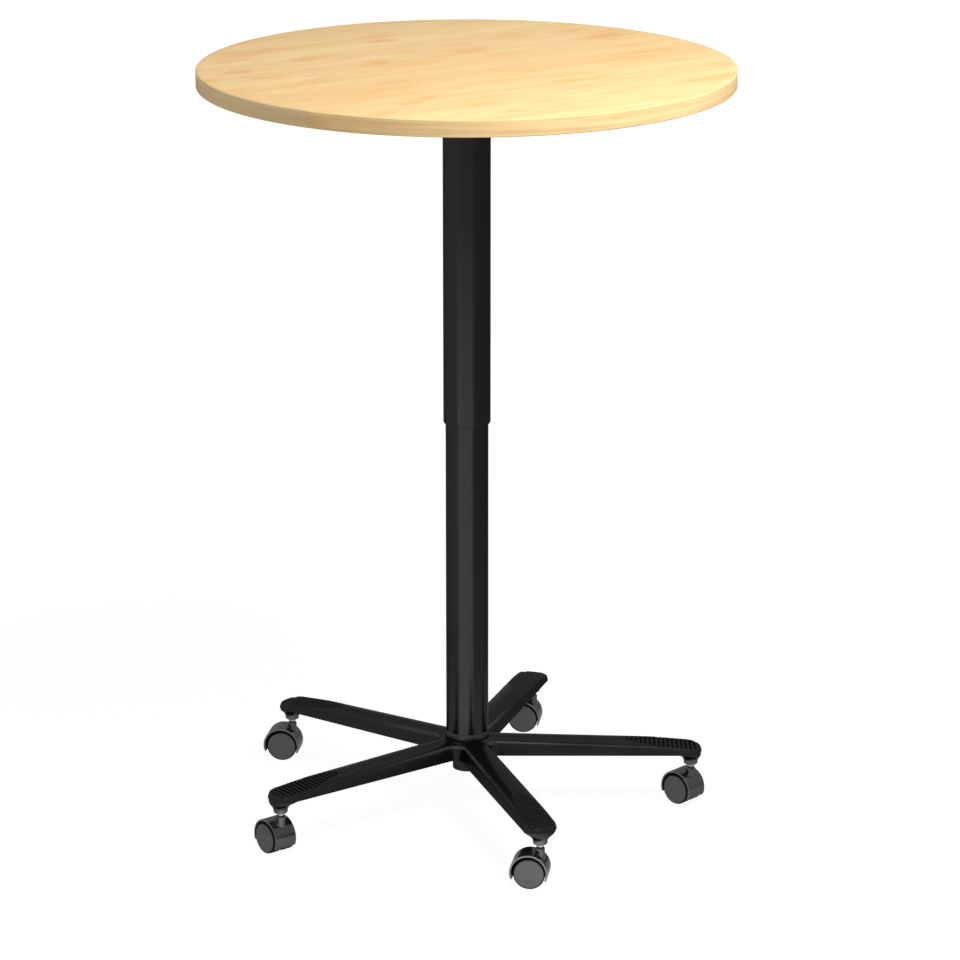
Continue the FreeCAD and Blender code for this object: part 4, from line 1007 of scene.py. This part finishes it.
plate_coat = powder_coat("plate_powder_coat", 0.055, 0.36, 0.2)
grip_plastic = moulded("grip_plastic", (0.050, 0.050, 0.050), 0.42, 500.0, 0.3, 0.15)
dress(nodes["mounting_plate"], plate_coat)
for node, material in (("release_lever", zinc), ("lever_grip", grip_plastic),
                       ("release_pin", zinc), ("lever_pivot_pin", zinc), ("plate_screws", zinc)):
    dress(nodes[node], material)
    break_edges(nodes[node])


# ------------------------------------------------------------------ board
# Round chipboard panel, 25 mm thick, faced above with a light maple decor whose grain runs at
# a slant to the column's front, and below with a grey backing foil. The band covers its edge.

TOP = 1.165
BOARD_LOW = 1.140
BOARD_RADIUS = 0.398
BOARD_STEPS = 360
BOARD_EDGE = (0.0003, 0.0001)
BOARD = [(0, TOP), (0.2, TOP), (0.39, TOP), (BOARD_RADIUS - BOARD_EDGE[0], TOP),
         (BOARD_RADIUS, TOP - BOARD_EDGE[1]), (BOARD_RADIUS, BOARD_LOW + BOARD_EDGE[1]),
         (BOARD_RADIUS - BOARD_EDGE[0], BOARD_LOW), (0.39, BOARD_LOW), (0.2, BOARD_LOW),
         (0, BOARD_LOW)]

# decor: the grain's slant, and the colours of its layers, laid over one another in this order
GRAIN = math.radians(34)
MAPLE_DEEP = (0.700, 0.445, 0.190, 1)
MAPLE_LIGHT = (0.900, 0.675, 0.335, 1)
MAPLE_RIPPLE = (0.97, 0.77, 0.42, 1)
MAPLE_STAIN = (0.76, 0.44, 0.160, 1)
MAPLE_FLECK = (0.70, 0.38, 0.125, 1)
MAPLE_FIGURE = (0.720, 0.360, 0.110, 1)
MAPLE_LINE = (0.68, 0.40, 0.15, 1)
MAPLE_PALE = (0.98, 0.79, 0.44, 1)
MAPLE_FIBRE = (0.55, 0.36, 0.18, 1)

# orange figures: x and y of the middle, length and width in millimetres, and strength. The two
# scales turn metres along and across the grain into steps of 1.3 lengths and 1.8 widths, and
# the swirl is how far in metres a figure's outline is drawn about
FIGURE_ALONG = 770
FIGURE_ACROSS = 560
FIGURE_SWIRL = 0.060
FIGURES = [(-330, -45, 34, 9, 0.9), (-288, -89, 26, 8, 0.6), (-228, 69, 40, 9, 0.7),
           (-135, 32, 30, 11, 0.9), (-130, 208, 26, 9, 0.8), (-81, -274, 22, 9, 0.9),
           (-108, -122, 28, 7, 0.8), (7, 135, 34, 13, 0.9), (-20, 170, 30, 9, 0.6),
           (-50, -233, 30, 8, 0.7), (64, -337, 26, 9, 0.8), (115, -256, 34, 10, 0.5),
           (275, 125, 40, 9, 0.7), (216, 256, 44, 15, 0.8), (160, 300, 30, 10, 0.6),
           (377, 16, 26, 9, 0.5), (139, -112, 24, 7, 0.5), (-215, -20, 22, 6, 0.5),
           (30, -40, 36, 6, 0.35), (200, -60, 30, 7, 0.35), (-40, 60, 40, 7, 0.4)]


def board_maple():
    """Maple decor on the flat board, grain turned to its slant: wide plain streaks, fine dark
    and pale fibres, short ripples across the grain, and soft orange figures at their places."""
    wood = Finish("maple_decor")
    wander = wood.noise(wood.place((3.0, 9.0, 1), GRAIN), 1.0, 2.0)
    at = wood.node("ShaderNodeVectorMath", {"operation": "ADD"}, {
        0: wood.place((1, 1, 1), GRAIN),
        1: wood.node("ShaderNodeCombineXYZ", {}, {"Y": wander * 0.030})})

    def stretched(along, across):
        """The board's coordinates, multiplied along and across the grain."""
        return wood.node("ShaderNodeVectorMath", {"operation": "MULTIPLY"}, {
            0: at, 1: (along, across, 1)})

    streak = wood.noise(stretched(1.3, 26.0), 1.0, 4.0, 0.62)
    plank = wood.noise(stretched(0.25, 7.0), 1.0, 1.0)
    fibre = wood.noise(stretched(16.0, 620.0), 1.0, 3.0, 0.65)
    line = wood.noise(stretched(2.0, 62.0), 1.0, 5.0, 0.68)
    cloud = wood.noise(stretched(7.0, 22.0), 1.0, 4.0, 0.6)
    ripple = wood.noise(stretched(110.0, 16.0), 1.0, 2.0, 0.5)
    base = wood.mix((streak * 0.9 + plank * 0.9 - 0.4).clamp(), MAPLE_DEEP, MAPLE_LIGHT)
    rippled = wood.mix(ripple.ramp(0.50, 0.78) * cloud.ramp(0.45, 0.62) * 0.22, base,
                       MAPLE_RIPPLE)
    stained = wood.mix(cloud.ramp(0.47, 0.68) * 0.7, rippled, MAPLE_STAIN)
    fleck = wood.noise(stretched(26.0, 85.0), 1.0, 3.0, 0.6)
    flecked = wood.mix(fleck.ramp(0.52, 0.74) * 0.28, stained, MAPLE_FLECK)
    ragged = wood.noise(stretched(38.0, 130.0), 1.0, 3.0, 0.6)
    swirl = wood.node("ShaderNodeTexNoise", {}, {
        "Vector": stretched(22.0, 42.0), "Scale": 1.0, "Detail": 3.0}, "Color")
    shift = wood.node("ShaderNodeVectorMath", {"operation": "MULTIPLY_ADD"}, {
        0: swirl, 1: (FIGURE_SWIRL, FIGURE_SWIRL, 0),
        2: (-FIGURE_SWIRL / 2, -FIGURE_SWIRL / 2, 0)})
    swirled = wood.node("ShaderNodeVectorMath", {"operation": "ADD"}, {
        0: wood.node("ShaderNodeTexCoord", {}, {}, "Object"), 1: shift})
    spots = None
    for x, y, length, width, strength in FIGURES:
        middle = (x / 1000, y / 1000, TOP)
        near = wood.node("ShaderNodeVectorMath", {"operation": "LENGTH"}, {
            0: wood.place((FIGURE_ALONG / length, FIGURE_ACROSS / width, 0.001), GRAIN, middle,
                          swirled)}, "Value")
        spot = (1 - (near + ragged * 1.2 - 0.6).ramp(0.0, 1.25)) * strength
        spots = spot if spots is None else spots.math("MAXIMUM", spot)
    figured = wood.mix(spots * 0.8, flecked, MAPLE_FIGURE)
    lined = wood.mix(line.ramp(0.50, 0.70) * 0.26, figured, MAPLE_LINE)
    pale = wood.mix((1 - line).ramp(0.56, 0.72) * 0.30, lined, MAPLE_PALE)
    fibred = wood.mix(fibre.ramp(0.54, 0.80) * 0.20, pale, MAPLE_FIBRE)
    return wood.surface({
        "Base Color": fibred, "Roughness": 0.42 + fibre * 0.08,
        "Normal": wood.bump(fibre, 0.06), "Specular IOR Level": 0.14})


def backing_foil():
    """Plain grey balancing foil under the board, with the faint show-through of the chips."""
    foil = Finish("backing_foil")
    chips = foil.noise(foil.place(), 90.0, 3.0, 0.6)
    soil = foil.noise(foil.place(), 7.0, 3.0)
    tint = foil.mix(chips, (0.27, 0.27, 0.265, 1), (0.33, 0.33, 0.325, 1))
    return foil.surface({
        "Base Color": foil.mix(soil.ramp(0.5, 0.8) * 0.25, tint, (0.22, 0.215, 0.205, 1)),
        "Roughness": 0.5 + soil * 0.1, "Normal": foil.bump(chips, 0.1)})


board = lathe_piece("round_board", lathe(BOARD, BOARD_STEPS), "column_top", ["tabletop_board"])
dress(board, board_maple())
two_tone(board, backing_foil(), face_centres(board)[:, 2] < BOARD_LOW + 0.0005)


# ------------------------------------------------------------------ edge band
# Strip of the same decor, 2 mm thick, glued round the board's edge with one butt joint. Its
# upper and lower corners are milled round.

BAND_STEPS = 720
BAND_OUTER = 0.39997
BAND_ROUNDING = 0.0018
JOINT_TURN = math.radians(-123.7)
HALF_ROUND = math.pi * BAND_OUTER
GREYED_FROM = 0.95
GLUE_MIDDLE = BOARD_RADIUS + 0.0004
BAND_DEEP = (0.730, 0.475, 0.215, 1)
BAND_LIGHT = (0.900, 0.670, 0.340, 1)
BAND_FIGURE = (0.70, 0.37, 0.12, 1)
BAND_GREYED = (0.62, 0.50, 0.31, 1)
BAND_FIBRE = (0.52, 0.34, 0.17, 1)
BAND_SEAM = (0.30, 0.20, 0.11, 1)
BAND_GLUE = (0.36, 0.33, 0.19, 1)

corner_turn = np.linspace(0, math.pi / 2, 7)
upper_corner = np.stack([BAND_OUTER - BAND_ROUNDING + BAND_ROUNDING * np.sin(corner_turn),
                         TOP - BAND_ROUNDING + BAND_ROUNDING * np.cos(corner_turn)], 1)
lower_corner = upper_corner[::-1] * [1, -1] + [0, TOP + BOARD_LOW]
BAND = np.concatenate([[(BOARD_RADIUS, TOP)], upper_corner, lower_corner,
                       [(BOARD_RADIUS, BOARD_LOW)]])
band = lathe_piece("board_edge_band", lathe(BAND, BAND_STEPS), "column_top", ["edge_band"],
                   closed=True)


def band_maple():
    """Maple decor on the strip, whose pattern runs along the edge from the butt joint round:
    long streaks, a few orange figures, a dark seam at the joint and a glue line on top."""
    wood = Finish("maple_band")
    plan = wood.place((1, 1, 1), JOINT_TURN + math.pi)
    x, y, z = [wood.node("ShaderNodeSeparateXYZ", {}, {"Vector": plan}, axis) for axis in "XYZ"]
    length = y.math("ARCTAN2", x) * BAND_OUTER
    strip = wood.node("ShaderNodeCombineXYZ", {}, {"X": length, "Y": z})

    def stretched(along, across, shift=0.0):
        """The strip's coordinates, multiplied along and across it, and shifted along it."""
        return wood.node("ShaderNodeMapping", {"vector_type": "POINT"}, {
            "Vector": strip, "Location": (shift, 0, 0), "Scale": (along, across, 1)})

    streak = wood.noise(stretched(3.0, 110.0), 1.0, 4.0, 0.6, 0.4)
    broad = wood.noise(stretched(5.0, 24.0, 3.0), 1.0, 3.0, 0.55)
    fibre = wood.noise(stretched(24.0, 900.0), 1.0, 3.0, 0.6)
    base = wood.mix(streak.ramp(0.30, 0.70), BAND_DEEP, BAND_LIGHT)
    figured = wood.mix(broad.ramp(0.56, 0.74) * 0.55, base, BAND_FIGURE)
    greyed = wood.mix(length.math("GREATER_THAN", GREYED_FROM) * 0.35, figured, BAND_GREYED)
    fibred = wood.mix(fibre.ramp(0.54, 0.80) * 0.16, greyed, BAND_FIBRE)
    seam = length.math("ABSOLUTE").ramp(HALF_ROUND - 0.0005, HALF_ROUND - 0.0001)
    jointed = wood.mix(seam * 0.5, fibred, BAND_SEAM)
    out = wood.node("ShaderNodeMath", {"operation": "SQRT"}, {0: x * x + y * y})
    from_glue = (out - GLUE_MIDDLE).math("ABSOLUTE")
    glue = (1 - from_glue.ramp(0.0001, 0.0009)) * z.ramp(TOP - 0.0012, TOP - 0.0002)
    lined = wood.mix(glue * 0.5, jointed, BAND_GLUE)
    return wood.surface({
        "Base Color": lined, "Roughness": 0.42 + streak * 0.06,
        "Normal": wood.bump(fibre, 0.06), "Specular IOR Level": 0.14})


dress(band, band_maple())


# ------------------------------------------------------------------ floor, light and camera
# Plain pale floor and a white surround. One large soft lamp stands at the front right, and a
# weaker one fills from the left. Gloss mirrors a dimmer floor and surround, with a bright card
# lying in front of the table and a bright patch overhead.

FLOOR_HALF = 8
FLOOR_NEAR = 0.9
FLOOR_FAR = 2.3
FLOOR_PAINT = 0.80
FLOOR_PAINT_FAR = 0.40
FLOOR_GLOW = 1.10
GLOW_NEAR = 0.85
CARD_TURN = math.radians(-98)
MIRRORED_FLOOR = 0.33
MIRRORED_CLOSE = 0.27
MIRRORED_CARD = 0.78
MIRRORED_LEFT = 0.20
MIRRORED_RIGHT = 0.07

stage_mesh = bpy.data.meshes.new("floor")
stage_mesh.from_pydata([(-FLOOR_HALF, -FLOOR_HALF, 0), (FLOOR_HALF, -FLOOR_HALF, 0),
                        (FLOOR_HALF, FLOOR_HALF, 0), (-FLOOR_HALF, FLOOR_HALF, 0)], [],
                       [(0, 1, 2, 3)])
floor = bpy.data.objects.new("floor", stage_mesh)
bpy.context.scene.collection.objects.link(floor)
floor_finish = Finish("pale_floor")
floor_seen, floor_mirrored = [floor_finish.node("ShaderNodeLightPath", {}, {}, ray)
                              for ray in ("Is Camera Ray", "Is Glossy Ray")]
floor_place = floor_finish.place()
distance = floor_finish.node("ShaderNodeVectorMath", {"operation": "LENGTH"}, {
    0: floor_place}, "Value")


def along_floor(x, y):
    """Cosine of the angle at the column between a floor point and a direction."""
    return floor_finish.node("ShaderNodeVectorMath", {"operation": "DOT_PRODUCT"}, {
        0: floor_place, 1: (x, y, 0)}, "Value") / distance


away = distance.ramp(FLOOR_NEAR, FLOOR_FAR)
close = 1 - distance.ramp(0.45, 0.80)
ahead = along_floor(math.cos(CARD_TURN), math.sin(CARD_TURN))
card = ahead.ramp(0.69, 0.88) * distance.ramp(0.25, 0.45) * (1 - distance.ramp(2.6, 3.8))
leftward = along_floor(-1, 0)
far_left = leftward.ramp(0.35, 0.80) * distance.ramp(0.7, 1.1)
far_right = (leftward * -1.0).ramp(0.35, 0.80) * distance.ramp(1.0, 1.8)
paint = floor_finish.node("ShaderNodeBsdfDiffuse", {}, {
    "Color": floor_finish.mix(away, grey(FLOOR_PAINT), grey(FLOOR_PAINT_FAR))})
glow = floor_finish.node("ShaderNodeEmission", {}, {"Color": grey(1), "Strength": FLOOR_GLOW})
mirrored = floor_finish.node("ShaderNodeEmission", {}, {
    "Color": grey(1), "Strength": (
        MIRRORED_FLOOR + close * MIRRORED_CLOSE + card * MIRRORED_CARD
        + far_left * MIRRORED_LEFT - far_right * MIRRORED_RIGHT)})
lit = floor_finish.node("ShaderNodeMixShader", {}, {
    0: floor_seen * (GLOW_NEAR + away * (1 - GLOW_NEAR)), 1: paint, 2: glow})
both = floor_finish.node("ShaderNodeMixShader", {}, {0: floor_mirrored, 1: lit, 2: mirrored})
floor_finish.node("ShaderNodeOutputMaterial", {}, {"Surface": both}, None)
stage_mesh.materials.append(floor_finish.owner)

AMBIENT = 0.39
MIRRORED_SKY = 0.44
MIRRORED_BEHIND = 0.14
MIRRORED_OVERHEAD = 0.9
surround = Finish("studio", "worlds")
bpy.context.scene.world = surround.owner
camera_ray, glossy_ray, through_ray = [
    surround.node("ShaderNodeLightPath", {}, {}, ray)
    for ray in ("Is Camera Ray", "Is Glossy Ray", "Is Transmission Ray")]
sky_direction = surround.node("ShaderNodeTexCoord", {}, {}, "Generated")


def toward(x, y, z, low, high):
    """How far a direction lies inside a soft-edged round patch of the surround."""
    return surround.node("ShaderNodeVectorMath", {"operation": "DOT_PRODUCT"}, {
        0: sky_direction, 1: (x, y, z)}, "Value").ramp(low, high)


seen = camera_ray.math("MAXIMUM", through_ray)
behind = toward(0, 1, 0, -0.3, 0.5)
overhead = toward(-0.09, -0.62, 0.78, 0.90, 0.98)
mirrored_level = MIRRORED_SKY + behind * MIRRORED_BEHIND + overhead * MIRRORED_OVERHEAD
level = AMBIENT + seen * (1 - AMBIENT) + glossy_ray * (mirrored_level - AMBIENT)
backdrop = surround.node("ShaderNodeBackground", {}, {"Color": grey(1), "Strength": level})
surround.node("ShaderNodeOutputWorld", {}, {"Surface": backdrop}, None)

AIM_HEIGHT = 0.9


def soft_lamp(name, azimuth, height, reach, size, power):
    """A square lamp on a circle round the column, aimed at the column at a fixed height. Gloss
    doesn't mirror it."""
    data = bpy.data.lights.new(name, "AREA")
    data.shape = "SQUARE"
    data.size = size
    data.energy = power
    lamp = bpy.data.objects.new(name, data)
    bpy.context.scene.collection.objects.link(lamp)
    angle = math.radians(azimuth)
    lamp.location = (reach * math.cos(angle), reach * math.sin(angle), height)
    fall = math.atan2(height - AIM_HEIGHT, reach)
    lamp.rotation_euler = (math.pi / 2 - fall, 0, angle + math.pi / 2)
    lamp.visible_glossy = False


soft_lamp("key_lamp", -47, 2.40, 1.32, 1.2, 48.5)
soft_lamp("fill_lamp", -155, 1.10, 2.60, 0.9, 9)

CAMERA_PLACE = (0.0006, -5.656, 2.228)
CAMERA_PITCH = 16.739
CAMERA_YAW = 0.194
CAMERA_LENS = 145.3
SENSOR_WIDTH = 36
camera_data = bpy.data.cameras.new("camera")
camera_data.lens = CAMERA_LENS
camera_data.sensor_width = SENSOR_WIDTH
camera = bpy.data.objects.new("camera", camera_data)
bpy.context.scene.collection.objects.link(camera)
camera.location = CAMERA_PLACE
camera.rotation_euler = (math.radians(90 - CAMERA_PITCH), 0, math.radians(-CAMERA_YAW))
bpy.context.scene.camera = camera
bpy.context.scene.view_settings.view_transform = "Standard"
